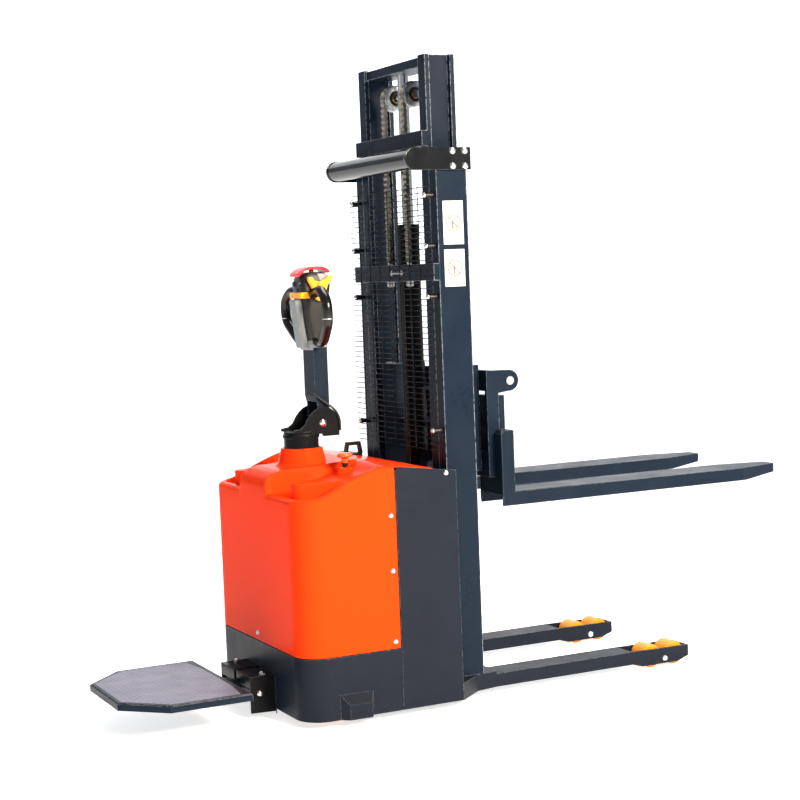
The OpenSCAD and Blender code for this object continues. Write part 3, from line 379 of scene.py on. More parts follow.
def mesh_piece(name, vertices, faces):
    """Makes an object from vertices and faces."""
    mesh = bpy.data.meshes.new(name)
    mesh.from_pydata(vertices, [], faces)
    mesh.update()
    piece = bpy.data.objects.new(name, mesh)
    bpy.context.collection.objects.link(piece)
    return piece


def choose(*pieces):
    """Selects only these objects, the first one active."""
    bpy.ops.object.select_all(action="DESELECT")
    for piece in pieces:
        piece.select_set(True)
    bpy.context.view_layer.objects.active = pieces[0]


def apply_modifier(piece, kind, **settings):
    """Adds one modifier and applies it."""
    choose(piece)
    modifier = piece.modifiers.new(kind.lower(), kind)
    for key, value in settings.items():
        setattr(modifier, key, value)
    bpy.ops.object.modifier_apply(modifier=modifier.name)


def tidy_mesh(piece, angle=35):
    """Places the object at the origin, merges doubles, points faces outwards and shades smooth by angle."""
    choose(piece)
    bpy.ops.object.transform_apply(location=True, rotation=True, scale=True)
    bpy.ops.object.mode_set(mode="EDIT")
    bpy.ops.mesh.select_all(action="SELECT")
    bpy.ops.mesh.remove_doubles(threshold=0.00001)
    bpy.ops.mesh.normals_make_consistent(inside=False)
    bpy.ops.object.mode_set(mode="OBJECT")
    bpy.ops.object.shade_smooth_by_angle(angle=math.radians(angle))


def join(name, *pieces):
    """Joins objects into the first one and renames it."""
    choose(*pieces)
    bpy.ops.object.join()
    piece = bpy.context.object
    piece.name = name
    piece.data.name = name
    return piece


def give(piece, material, slot, body, *nodes):
    """Finishes a piece: its material, the body it rides on and the nodes it stands for. The slot argument is not
    used.
    """
    if material:
        piece.data.materials.clear()
        piece.data.materials.append(material)
    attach(piece, body)
    if nodes:
        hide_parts(*nodes)


def box_piece(name, low, high, bevel=0.0015, segments=2):
    """Adds a box between two corners with rounded edges."""
    bpy.ops.object.select_all(action="DESELECT")
    centre = [(a + b) / 2 for a, b in zip(low, high)]
    bpy.ops.mesh.primitive_cube_add(size=1, location=centre, scale=[b - a for a, b in zip(low, high)])
    piece = bpy.context.object
    piece.name = name
    bpy.ops.object.transform_apply(location=True, rotation=True, scale=True)
    if bevel:
        apply_modifier(piece, "BEVEL", width=bevel, segments=segments, limit_method="ANGLE")
    return piece


def plate_piece(name, outline, axis, start, end, bevel=0.0012, segments=2):
    """Adds a flat plate: an outline in the plane across an axis, between two places on that axis."""
    spots = {"x": lambda a, b, t: (t, a, b), "y": lambda a, b, t: (a, t, b),
             "z": lambda a, b, t: (a, b, t)}[axis]
    count = len(outline)
    vertices = [spots(a, b, t) for t in (start, end) for a, b in outline]
    faces = [list(range(count)), list(range(2 * count - 1, count - 1, -1))]
    faces += [[k, count + k, count + (k + 1) % count, (k + 1) % count] for k in range(count)]
    piece = mesh_piece(name, vertices, faces)
    tidy_mesh(piece)
    if bevel:
        apply_modifier(piece, "BEVEL", width=bevel, segments=segments, limit_method="ANGLE",
                       angle_limit=math.radians(28))
    return piece


def turned_piece(name, profile, place, axis="z", steps=48):
    """Spins a profile of (radius, height) points about an axis through a place."""
    ring = [(math.cos(2 * math.pi * k / steps), math.sin(2 * math.pi * k / steps)) for k in range(steps)]
    turn = {"z": lambda a, b, h: (a, b, h), "y": lambda a, b, h: (b, h, a),
            "x": lambda a, b, h: (h, a, b)}[axis]
    vertices, faces = [], []
    for radius, height in profile:
        vertices += [tuple(p + q for p, q in zip(turn(radius * c, radius * s, height), place))
                     for c, s in ring]
    for row in range(len(profile) - 1):
        for k in range(steps):
            after = (k + 1) % steps
            faces.append([row * steps + k, row * steps + after,
                          (row + 1) * steps + after, (row + 1) * steps + k])
    if profile[0] != profile[-1]:
        faces += [list(range(steps)), [(len(profile) - 1) * steps + k for k in range(steps)][::-1]]
    piece = mesh_piece(name, vertices, faces)
    tidy_mesh(piece)
    return piece


xs = [HOOD_REAR + step for step in edge_steps(HOOD_FRONT - HOOD_REAR, [0.058], 0.0062)]
spine_edge = [HOOD_HALF - a for a in (0.1195, 0.1165, 0.1135, 0.110, 0.1065, 0.1035, 0.1005)]
side_steps = edge_steps(HOOD_HALF, spine_edge, 0.0090)
ys = [step - HOOD_HALF for step in side_steps] + [HOOD_HALF - step for step in reversed(side_steps[:-1])]
corner_x = HOOD_REAR + HOOD_CORNER
corner_y = HOOD_HALF - HOOD_CORNER
skin, quads = [], []
for x in xs:
    for y in ys:
        px, py, edge = x, y, min(x - HOOD_REAR, HOOD_HALF - abs(y))
        if x < corner_x and abs(y) > corner_y:
            dx, dy = corner_x - x, abs(y) - corner_y
            reach = max(dx, dy)
            shrink = reach / max(1e-9, math.hypot(dx, dy))
            px = corner_x - dx * shrink
            py = math.copysign(corner_y + dy * shrink, y)
            edge = HOOD_CORNER - reach
        drop = 0.0
        if edge < EDGE_ROUND:
            drop = EDGE_ROUND - math.sqrt(max(0.0, EDGE_ROUND ** 2 - (EDGE_ROUND - edge) ** 2))
        skin.append((px, py, hood_height(px, py, edge) - drop))
rows, cols = len(xs), len(ys)
for i in range(rows - 1):
    for j in range(cols - 1):
        corners = [i * cols + j, (i + 1) * cols + j, (i + 1) * cols + j + 1, i * cols + j + 1]
        middle = [sum(skin[c][k] for c in corners) / 4 for k in (0, 1)]
        if math.hypot(middle[0] - COLUMN_X, middle[1]) > 0.064:
            quads.append(corners)
rim = [i * cols for i in range(rows - 1, 0, -1)] + list(range(cols))
rim += [i * cols + cols - 1 for i in range(1, rows)]
last = rim
for level in range(1, 13):
    ring = []
    for index in rim:
        px, py, top = skin[index]
        skin.append((px, py, top + (HOOD_LOW - top) * level / 12))
        ring.append(len(skin) - 1)
    quads += [[last[k], last[k + 1], ring[k + 1], ring[k]] for k in range(len(ring) - 1)]
    last = ring
hood_shell = mesh_piece("hood_shell", skin, quads)
tidy_mesh(hood_shell, 60)
apply_modifier(hood_shell, "SOLIDIFY", thickness=0.004, offset=-1)
collar_profile = [(0.0600, 0.765), (0.0900, 0.7845), (0.0830, 0.7895), (0.0790, 0.7950), (0.0772, 0.802),
                  (0.0690, 0.8390), (0.0680, 0.8415), (0.0665, 0.8420), (0.0610, 0.8420), (0.0600, 0.8410),
                  (0.0600, 0.765)]
collar = turned_piece("collar", collar_profile, (COLUMN_X, 0, 0), steps=72)
front_panel = box_piece("front_panel", (-0.5, -HOOD_HALF + 0.0084, 0), (0.5, HOOD_HALF - 0.0084, 0.005), 0.002)
for vertex in front_panel.data.vertices:
    share = vertex.co.x + 0.5
    vertex.co.x = HOOD_FRONT + 0.0002 + share * (MAST_X - 0.185 - HOOD_FRONT)
    vertex.co.z += 0.7935 - 0.0225 * share
bosses = []
for side in (-1, 1):
    half_turn = [math.radians(90 + 15 * k) for k in range(13)]
    outline = [(math.cos(a) * 0.030, math.sin(a) * 0.030) for a in half_turn]
    outline += [(0.150, -0.058), (0.150, 0.058)]
    outline = [(HOOD_REAR + 0.068 + a, side * 0.245 + b) for a, b in outline]
    boss = plate_piece("boss", outline, "z", 0.690, 0.7560, 0.0030, 3)
    for vertex in boss.data.vertices:
        ahead = vertex.co.x - (HOOD_REAR + 0.068)
        if vertex.co.z > 0.72:
            vertex.co.z += 0.004 * eased(ahead, 0.02, 0.15)
    bosses.append(boss)
STOP_AT = (MAST_X - 0.410, -0.170, 0)
seat_profile = [(0.0001, 0.740), (0.034, 0.760), (0.030, 0.772), (0.0255, 0.780), (0.0235, 0.7835),
                (0.0085, 0.784), (0.0001, 0.784)]
stop_seat = turned_piece("stop_seat", seat_profile, STOP_AT)
key_profile = [(0.0001, 0.780), (0.019, 0.783), (0.019, 0.800), (0.0165, 0.8035), (0.0001, 0.804)]
key_seat = turned_piece("key_seat", key_profile, (MAST_X - 0.372, -0.128, 0), steps=32)
hood = join("hood_cover", hood_shell, collar, front_panel, *bosses, stop_seat, key_seat)
choose(hood)
bpy.ops.object.shade_smooth_by_angle(angle=math.radians(42))
give(hood, red_cover, "red_cover", "truck", "hood")


# ---- Emergency stop ----
# A mushroom knob of orange-red nylon on a black stem, pushed down to cut the power.

# Gloss nylon in orange-red: bright, with one round highlight.
orange_nylon = moulded_plastic("orange_nylon", "#EC5A1E", 0.28, grain=0.05)
cap_profile = [(0.0001, 0.7985), (0.0100, 0.7985), (0.0105, 0.8115), (0.0135, 0.815), (0.0225, 0.8165),
               (0.0248, 0.8195), (0.0250, 0.8230), (0.0235, 0.8270), (0.0185, 0.8292), (0.0100, 0.8302),
               (0.0001, 0.8305)]
stop_cap = turned_piece("stop_cap", cap_profile, STOP_AT)
give(stop_cap, orange_nylon, "orange_plastic", "stop_knob", "stop_knob")
stem_profile = [(0.0001, 0.766), (0.0078, 0.766), (0.0078, 0.7905), (0.0112, 0.791), (0.0116, 0.7945),
                (0.0112, 0.798), (0.0090, 0.7985), (0.0001, 0.7985)]
stop_stem = turned_piece("stop_stem", stem_profile, STOP_AT, steps=32)
give(stop_stem, black_abs, "black_plastic", "stop_knob")


# ---- Lift chains ----
# Two leaf chains of laced steel plates on pins, anchored on the outer mast's bar, led over the pulleys on the
# inner mast and down to the carriage. The plates are oiled and darker in their gaps.

# Blanked steel plates under chain oil: a warm grey with soft glints.
chain_steel = plated_metal("oiled_chain_steel", "#A39C8E", 0.30)
CHAIN_PITCH = 0.0191
PLATE_T = 0.0027
PLATE_HALF_H = 0.0073
PIN_R = 0.0038
PULLEY_X = MAST_X - 0.064
PULLEY_Z = 1.985
PULLEY_R = 0.0385
CHAIN_Y = 0.072


def chain_run(name, centres):
    """Links along a list of (x, z, direction) pin places: plates in two alternating packs, and the pins."""
    vertices, faces = [], []
    outline = [(-0.5, a) for a in (80, 130, 180, 230, 280)] + [(0.0, 270)]
    outline += [(0.5, a) for a in (260, 310, 0, 50, 100)] + [(0.0, 90)]
    for index in range(len(centres) - 1):
        (x0, z0), (x1, z1) = centres[index], centres[index + 1]
        run = Vector((x1 - x0, 0, z1 - z0))
        length = run.length
        run.normalize()
        across = Vector((run.z, 0, -run.x))
        middle = Vector(((x0 + x1) / 2, 0, (z0 + z1) / 2))
        packs = (-2, 0, 2) if index % 2 else (-3, -1, 1, 3)
        for pack in packs:
            base = len(vertices)
            for side in (-0.5, 0.5):
                for end, angle in outline:
                    size = PLATE_HALF_H if end else 0.0042
                    spot = middle + run * (end * length + size * math.cos(math.radians(angle)))
                    spot += across * size * math.sin(math.radians(angle))
                    vertices.append((spot.x, (pack * 0.0036) + side * PLATE_T, spot.z))
            count = len(outline)
            faces.append([base + k for k in range(count)])
            faces.append([base + count + k for k in reversed(range(count))])
            faces += [[base + k, base + count + k, base + count + (k + 1) % count, base + (k + 1) % count]
                      for k in range(count)]
        base = len(vertices)
        for y in (-0.0138, 0.0138):
            vertices += [(x0 + PIN_R * math.cos(k * math.pi / 4), y, z0 + PIN_R * math.sin(k * math.pi / 4))
                         for k in range(8)]
        faces.append([base + k for k in range(8)])
        faces.append([base + 8 + k for k in reversed(range(8))])
        faces += [[base + k, base + 8 + k, base + 8 + (k + 1) % 8, base + (k + 1) % 8] for k in range(8)]
    run_pieces = []
    for side in (-1, 1):
        run_pieces.append(mesh_piece(name, [(x, y + side * CHAIN_Y, z) for x, y, z in vertices], faces))
    chain = join(name, *run_pieces)
    choose(chain)
    bpy.ops.object.mode_set(mode="EDIT")
    bpy.ops.mesh.select_all(action="SELECT")
    bpy.ops.mesh.normals_make_consistent(inside=False)
    bpy.ops.object.mode_set(mode="OBJECT")
    return chain


def straight_pins(x, low, high):
    """Pin places on an upright run, as near one chain pitch apart as fits."""
    count = max(2, round((high - low) / CHAIN_PITCH))
    return [(x, low + (high - low) * k / count) for k in range(count + 1)]


rear_x = PULLEY_X - PULLEY_R
front_x = PULLEY_X + PULLEY_R
chain_rear = chain_run("chain_rear_links", straight_pins(rear_x, 1.436, PULLEY_Z))
chain_rear.data.materials.append(chain_steel)
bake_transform(chain_rear)
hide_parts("chain_rear")
chain_front = chain_run("chain_front_links", straight_pins(front_x, 0.902, PULLEY_Z))
chain_front.data.materials.append(chain_steel)
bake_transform(chain_front)
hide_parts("chain_front")
bend = [math.pi * k / 7 for k in range(8)]
chain_arc = chain_run("chain_arc_links", [(PULLEY_X - PULLEY_R * math.cos(a), PULLEY_Z + PULLEY_R * math.sin(a))
                                          for a in bend])
give(chain_arc, chain_steel, "chain_steel", "inner_mast", "chain_arc")


# ---- Tiller head ----
# A nylon body bolted on the arm's end: two closed hand loops, a yellow butterfly throttle, a light grey
# wiring cover down its back, a grey face and a red belly button over its top.

# Polished black nylon on the loops: wet-looking, with long highlights.
gloss_black = moulded_plastic("black_gloss_nylon", "#0B0B0D", 0.16, grain=0.03)
# Light grey ABS: matt and even.
grey_abs = moulded_plastic("light_grey_abs", "#7C8288", 0.42)
# Smooth nylons for the throttle, the belly button and the small buttons.
yellow_nylon = moulded_plastic("yellow_nylon", "#F5A219", 0.30, grain=0.05)
red_nylon = moulded_plastic("red_nylon", "#DC1F2B", 0.28, grain=0.05)
blue_nylon = moulded_plastic("blue_black_nylon", "#1A2436", 0.30, grain=0.05)
finish_nodes(blue_nylon, "lift_button", "lower_button", "horn_button")
ARM_X = MAST_X - 0.430
HEAD_Z = 1.370


def lofted_piece(name, sections, rounding=0.35, steps=32):
    """Skins rounded rectangles given as (z, low x, high x, half width) into a closed body."""
    vertices, faces = [], []
    for z, low, high, half in sections:
        centre, reach = (low + high) / 2, (high - low) / 2
        for k in range(steps):
            angle = 2 * math.pi * (k + 0.5) / steps
            c, s = math.cos(angle), math.sin(angle)
            out, across = (math.copysign(abs(v) ** rounding, v) for v in (c, s))
            vertices.append((centre + reach * out, half * across, z))
    for row in range(len(sections) - 1):
        near, far = row * steps, (row + 1) * steps
        faces += [[near + k, near + (k + 1) % steps, far + (k + 1) % steps, far + k] for k in range(steps)]
    faces += [list(range(steps))[::-1], [(len(sections) - 1) * steps + k for k in range(steps)]]
    piece = mesh_piece(name, vertices, faces)
    tidy_mesh(piece, 50)
    return piece


def smooth_path(points, per_span=8):
    """Catmull-Rom points through the given ones."""
    points = [Vector(p) for p in points]
    ends = [2 * points[0] - points[1]] + points + [2 * points[-1] - points[-2]]
    path = []
    for k in range(1, len(ends) - 2):
        a, b, c, d = ends[k - 1:k + 3]
        for step in range(per_span):
            t = step / per_span
            square, cube = 2 * a - 5 * b + 4 * c - d, 3 * b - a - 3 * c + d
            path.append(0.5 * (2 * b + (c - a) * t + square * t * t + cube * t ** 3))
    return path + [points[-1]]


def tube_piece(name, path, radius, sides=20):
    """Sweeps a round section along a path, closed at both ends."""
    vertices, faces = [], []
    path = [Vector(p) for p in path]
    before = Vector((0.0, 0.0, 0.0))
    for index, spot in enumerate(path):
        heading = (path[min(index + 1, len(path) - 1)] - path[max(index - 1, 0)]).normalized()
        if index == 0:
            out = heading.orthogonal().normalized()
        else:
            out = (before - heading * before.dot(heading)).normalized()
        before = out
        side = heading.cross(out)
        size = radius[index] if isinstance(radius, list) else radius
        vertices += [tuple(spot + (out * math.cos(a) + side * math.sin(a)) * size)
                     for a in [2 * math.pi * k / sides for k in range(sides)]]
    for row in range(len(path) - 1):
        near, far = row * sides, (row + 1) * sides
        faces += [[near + k, near + (k + 1) % sides, far + (k + 1) % sides, far + k] for k in range(sides)]
    faces += [list(range(sides))[::-1], [(len(path) - 1) * sides + k for k in range(sides)]]
    piece = mesh_piece(name, vertices, faces)
    tidy_mesh(piece, 60)
    return piece


def filleted(points, radius, steps=6):
    """Replaces each inner corner of a path by a round bend."""
    points = [Vector(p) for p in points]
    path = [points[0]]
    for before, corner, after in zip(points, points[1:], points[2:]):
        to_before, to_after = (before - corner).normalized(), (after - corner).normalized()
        half = to_before.angle(to_after) / 2
        cut = min(radius / math.tan(half), 0.48 * (before - corner).length, 0.48 * (after - corner).length)
        a, b = corner + to_before * cut, corner + to_after * cut
        for k in range(steps + 1):
            t = k / steps
            path.append(a * (1 - t) ** 2 + corner * 2 * t * (1 - t) + b * t * t)
    return path + [points[-1]]


head_body = lofted_piece("head_body_shell", [
    (1.1665, ARM_X - 0.026, ARM_X + 0.030, 0.040), (1.180, ARM_X - 0.030, ARM_X + 0.033, 0.0425),
    (1.220, ARM_X - 0.036, ARM_X + 0.036, 0.045), (1.270, ARM_X - 0.042, ARM_X + 0.040, 0.047),
    (1.320, ARM_X - 0.047, ARM_X + 0.046, 0.048), (1.350, ARM_X - 0.050, ARM_X + 0.052, 0.048),
    (1.378, ARM_X - 0.050, ARM_X + 0.056, 0.047), (1.398, ARM_X - 0.044, ARM_X + 0.050, 0.045),
    (1.408, ARM_X - 0.032, ARM_X + 0.040, 0.042), (1.4130, ARM_X - 0.020, ARM_X + 0.026, 0.038)])
give(head_body, black_abs, "black_plastic", "tiller", "head_body")
cover_line = [(-0.0275, 1.1665), (-0.0265, 1.176), (-0.044, 1.322), (-0.050, 1.327), (-0.066, 1.324),
              (-0.0685, 1.318), (-0.050, 1.1665)]
cover = plate_piece("wiring_cover", [(ARM_X + a, z) for a, z in cover_line], "y", -0.026, 0.026, 0.004, 3)
give(cover, grey_abs, "grey_plastic", "tiller", "head_cover")
face_sections = [(1.372, 0.012, 0.0590, 0.0485), (1.384, 0.008, 0.0565, 0.0485), (1.398, 0.004, 0.0500, 0.0465),
                 (1.407, 0.002, 0.040, 0.044)]
face = lofted_piece("face_panel", [(z, ARM_X + a, ARM_X + b, half) for z, a, b, half in face_sections], 0.3)
give(face, grey_abs, "grey_plastic", "tiller")
loops = []
for side in (-1, 1):
    corners = [(ARM_X - 0.012, side * 0.040, HEAD_Z - 0.030), (ARM_X - 0.018, side * 0.120, HEAD_Z - 0.014),
               (ARM_X - 0.022, side * 0.176, HEAD_Z - 0.052), (ARM_X - 0.019, side * 0.172, HEAD_Z - 0.118),
               (ARM_X - 0.006, side * 0.096, HEAD_Z - 0.186), (ARM_X - 0.002, side * 0.028, HEAD_Z - 0.182)]
    loops.append(tube_piece("loop", filleted(corners, 0.060, 8), 0.0170, 24))
loops = join("hand_loops", *loops)
give(loops, gloss_black, "black_plastic", "tiller", "grips")
rings = []
ring_profile = [(0.0165, -0.0016), (0.0178, -0.0012), (0.0181, 0.0), (0.0178, 0.0012), (0.0165, 0.0016)]
for side in (-1, 1):
    rings.append(turned_piece("ring", ring_profile, (ARM_X - 0.0196, side * 0.1715, 1.262), steps=40))
rings = join("grip_rings", *rings)
give(rings, zinc, "zinc", "tiller")
wings = []
wing_line = [(-0.012, -0.044), (0.004, -0.053), (0.018, -0.045), (0.027, -0.020), (0.036, 0.004), (0.053, 0.022),
             (0.050, 0.031), (0.036, 0.030), (0.021, 0.017), (0.004, 0.011), (-0.010, 0.015), (-0.022, 0.026),
             (-0.034, 0.027), (-0.036, 0.018), (-0.027, 0.000), (-0.019, -0.016)]
hub_profile = [(0.0001, 0.048), (0.012, 0.048), (0.0125, 0.069), (0.0105, 0.0715), (0.0001, 0.0720)]
for side in (-1, 1):
    low, high = sorted((side * 0.050, side * 0.066))
    wing = [(ARM_X + a, HEAD_Z + b) for a, b in wing_line]
    wings.append(plate_piece("wing", wing, "y", low, high, 0.0045, 3))
    hub_at = (ARM_X + 0.008, 0, HEAD_Z)
    wings.append(turned_piece("hub", [(r, side * h) for r, h in hub_profile], hub_at, "y", 28))
band_line = [(-0.052, -0.0490), (-0.058, -0.043), (-0.058, 0.043), (-0.052, 0.0490), (-0.020, 0.0490),
             (-0.020, -0.0490)]
rear_band = plate_piece("rear_band", [(ARM_X + a, b) for a, b in band_line], "z", 1.328, 1.348, 0.003, 2)
give(rear_band, yellow_nylon, "yellow_plastic", "tiller")
wings = join("throttle_wings", *wings)
give(wings, yellow_nylon, "yellow_plastic", "throttle", "throttle")
arc = [(-0.060, 0.036), (-0.052, 0.045), (-0.038, 0.0545), (-0.018, 0.0600), (0.004, 0.0615), (0.026, 0.0605),
       (0.044, 0.0550), (0.056, 0.0460)]
under = [(a * 0.93, b - 0.0085) for a, b in reversed(arc)]
belly_line = [(ARM_X + a, HEAD_Z + b) for a, b in arc + under]
belly = plate_piece("belly_bar", belly_line, "y", -0.038, 0.038, 0.003, 3)
stem_profile = [(0.0001, 0.030), (0.008, 0.030), (0.008, 0.052), (0.0001, 0.052)]
belly_stem = turned_piece("belly_stem", stem_profile, (ARM_X + 0.004, 0, HEAD_Z), steps=24)
belly = join("belly_bar", belly, belly_stem)
give(belly, red_nylon, "orange_plastic", "belly_button", "belly_button")


# ---- Tiller arm and its cable ----
# A folded steel channel, welded along its rear corner, that tilts in the column's forked bracket. A black
# cable leaves it low down, rounds the bracket's front edge and goes in at its foot.

# Powder coat of the frame's tone on the thin arm and the platform.
frame_steel = painted_steel("arm_powder_coat", "#111C2A", "#7A828B", roughness=0.36)
finish_nodes(frame_steel, "tiller_arm", "platform")
CABLE_RADIUS = 0.0036
cable_route = [(-0.026, -0.0480, 1.018), (-0.006, -0.0505, 1.000), (0.014, -0.0545, 0.985),
               (0.034, -0.0593, 0.968), (0.049, -0.0593, 0.950), (0.0565, -0.0593, 0.931),
               (0.0580, -0.0593, 0.915), (0.0580, -0.0593, 0.893)]
cable_path = smooth_path([(ARM_X + a, y, z) for a, y, z in cable_route])
cable = tube_piece("tiller_lead", cable_path, CABLE_RADIUS, 12)
cable.data.materials.append(hose_rubber)
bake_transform(cable)
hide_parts("tiller_cable")


# ---- Steering column ----
# A turned tube with a lip, and a folded fork of 6 mm plate welded on top that holds the tiller's pivot bolt.

column_profile = [(0.0510, 0.560), (0.0570, 0.560), (0.0570, 0.8735), (0.0602, 0.8745), (0.0606, 0.8765),
                  (0.0606, 0.8830), (0.0598, 0.8852), (0.0572, 0.8862), (0.0572, 0.8950), (0.0001, 0.8950),
                  (0.0001, 0.8890), (0.0510, 0.8890), (0.0510, 0.560)]
column_tube = turned_piece("column_tube", column_profile, (COLUMN_X, 0, 0), steps=72)
cheeks = []
cheek_line = [(-0.105, 0.893), (-0.075, 0.893), (-0.004, 0.885), (0.000, 0.877), (0.057, 0.877), (0.0585, 0.923),
              (0.056, 0.935), (0.049, 0.948), (0.038, 0.960), (0.024, 0.969), (0.008, 0.974), (-0.008, 0.973),
              (-0.024, 0.966), (-0.040, 0.953), (-0.052, 0.938), (-0.064, 0.917), (-0.080, 0.906),
              (-0.105, 0.902)]
for side in (-1, 1):
    low, high = sorted((side * 0.0482, side * 0.0555))
    cheeks.append(plate_piece("cheek", [(ARM_X + a, z) for a, z in cheek_line], "y", low, high, 0.0012, 2))
front_web = box_piece("front_web", (ARM_X + 0.0410, -0.0487, 0.877), (ARM_X + 0.0470, 0.0487, 0.901), 0.001)
steering_fork = join("steering_fork", column_tube, *cheeks, front_web)
choose(steering_fork)
bpy.ops.object.shade_smooth_by_angle(angle=math.radians(32))
give(steering_fork, black_paint, "black_paint", "steering", "steering_column")
block_sections = [(1.1595, -0.0305, 0.0335, 0.0405), (1.1610, -0.0320, 0.0350, 0.0420),
                  (1.1740, -0.0325, 0.0360, 0.0435), (1.1890, -0.0310, 0.0370, 0.0452),
                  (1.1905, -0.0300, 0.0360, 0.0440)]
block_sections = [(z, ARM_X + a, ARM_X + b, half) for z, a, b, half in block_sections]
arm_block = lofted_piece("arm_block", block_sections, 0.25)
give(arm_block, grey_abs, "grey_plastic", "tiller")


# ---- Overhead guard mesh and its bolts ----
# Drawn steel wires spot-welded in a grid, painted black, held off the mast on nylon spacers with dome nuts.

wires = []
MESH_X = MAST_X - 0.138
for k in range(48):
    z = 0.824 + 0.018 * k
    wires.append(tube_piece("wire", [(MESH_X, -0.305, z), (MESH_X, 0.305, z)], 0.0015, 6))
for y in (-0.225, -0.15, -0.075, 0.0, 0.075, 0.15, 0.225):
    wires.append(tube_piece("wire", [(MESH_X - 0.003, y, 0.820), (MESH_X - 0.003, y, 1.675)], 0.0015, 6))
wires = join("guard_wires", *wires)
give(wires, black_paint, "black_paint", "truck", "guard_mesh")
spacers, nuts = [], []
spacer_profile = [(0.0001, 0.0), (-0.0080, 0.0), (-0.0080, -0.020), (-0.0068, -0.0262), (-0.0100, -0.0266),
                  (-0.0100, -0.0318), (-0.0001, -0.0318)]
nut_profile = [(0.0001, -0.0318), (-0.0088, -0.0318), (-0.0090, -0.0336), (-0.0076, -0.0368),
               (-0.0050, -0.0388), (-0.0022, -0.0395), (-0.0001, -0.0396)]
bolt_profile = [(0.0001, 0.308), (0.0110, 0.308), (0.0112, 0.3100), (0.0096, 0.3134), (0.0062, 0.3156),
                (0.0026, 0.3164), (0.0001, 0.3165)]
for side in (-1, 1):
    for z in (0.887, 1.319, 1.481, 1.643):
        screw_at = (MAST_X - 0.110, side * 0.277, z)
        spacers.append(turned_piece("spacer", spacer_profile, screw_at, "x", 12))
        nuts.append(turned_piece("nut", nut_profile, screw_at, "x", 12))
    for dx in (-0.008, -0.052):
        for dz in (-0.024, 0.024):
            bolt = [(r, side * h) for r, h in bolt_profile]
            nuts.append(turned_piece("bolt", bolt, (MAST_X + dx, 0, 1.757 + dz), "y", 12))
spacers = join("guard_spacers", *spacers)
give(spacers, black_abs, "black_plastic", "truck")
nuts = join("dome_nuts", *nuts)
give(nuts, zinc, "zinc", "truck", "mast_bolts")


# ---- Labels and weld seams ----
# Blank vinyl labels on the near rail with a printed ring, a printed arrow on the guard's bar, and raised weld
# beads where the plates meet, their crests paler from the paint's edge mask.

def decal_piece(name, outline, y):
    """Adds a thin printed shape on a face that looks along -Y."""
    return plate_piece(name, outline, "y", y - 0.0003, y, 0)


# Cut vinyl film in white: flat, with a faint sheen that the paint lacks.
white_vinyl = moulded_plastic("white_vinyl_film", "#C9CBCC", 0.35, grain_mm=2.0, grain=0.02)
# Screen-printed inks, dull and a little raised on the film.
red_ink = moulded_plastic("red_screen_print", "#E0492F", 0.4, grain_mm=2.0, grain=0.02)
grey_ink = moulded_plastic("grey_screen_print", "#6A6F75", 0.4, grain_mm=2.0, grain=0.02)
RAIL_FACE = -0.3002
PRINT_FACE = RAIL_FACE - 0.0004
RING_X = -0.0760
labels, rings_red, marks = [], [], []
for low, high in ((1.484, 1.623), (1.349, 1.468)):
    sheet = [(-0.1125, low), (-0.0395, low), (-0.0395, high), (-0.1125, high)]
    labels.append(decal_piece("label", sheet, RAIL_FACE))
    middle = (low + high) / 2
    turn = [2 * math.pi * k / 40 for k in range(40)]
    spots = [(RING_X + r * math.cos(t), PRINT_FACE - 0.0003, middle + r * math.sin(t))
             for r in (0.0265, 0.0232) for t in turn]
    ring = mesh_piece("ring", spots, [[k, (k + 1) % 40, 40 + (k + 1) % 40, 40 + k] for k in range(40)])
    apply_modifier(ring, "SOLIDIFY", thickness=0.0003, offset=0)
    rings_red.append(ring)
    bar = [(-0.0955, middle + 0.0160), (-0.0933, middle + 0.0182), (-0.0565, middle - 0.0160),
           (-0.0587, middle - 0.0182)]
    rings_red.append(decal_piece("bar", bar, PRINT_FACE))
    for name, left, right, down, up in (("figure", -0.0825, -0.0745, 0.021, 0.006),
                                        ("post", -0.0665, -0.0640, 0.023, 0.023)):
        mark = [(left, middle - down), (right, middle - down), (right, middle + up), (left, middle + up)]
        marks.append(decal_piece(name, mark, PRINT_FACE))
labels = join("rail_labels", *labels)
give(labels, white_vinyl, "mast_paint", "truck")
rings_red = join("label_rings", *rings_red)
give(rings_red, red_ink, "mast_paint", "truck")
marks = join("label_marks", *marks)
give(marks, grey_ink, "mast_paint", "truck")
arrow = [(-0.052, 0.0), (-0.034, 0.010), (-0.034, 0.0035), (0.034, 0.0035), (0.034, 0.010), (0.052, 0.0),
         (0.034, -0.010), (0.034, -0.0035), (-0.034, -0.0035), (-0.034, -0.010)]
arrow = [(-0.030 + a, 1.3985 + b) for a, b in arrow]
bar_face = MAST_X - 0.130
arrow_mark = plate_piece("bar_arrow", arrow, "x", bar_face - 0.0004, bar_face - 0.0001, 0)
give(arrow_mark, white_vinyl, "mast_paint", "truck")


def weld_bead(path, size, seed):
    """Adds a rippled half-round bead along a path."""
    random.seed(seed)
    spots = []
    for a, b in zip(path, path[1:]):
        a, b = Vector(a), Vector(b)
        count = max(2, round((b - a).length / 0.0035))
        spots += [a.lerp(b, k / count) for k in range(count)]
    spots.append(Vector(path[-1]))
    radii = [size * (0.82 + 0.22 * math.sin(k * 1.9) + 0.12 * random.random()) for k in range(len(spots))]
    return tube_piece("bead", spots, radii, 8)


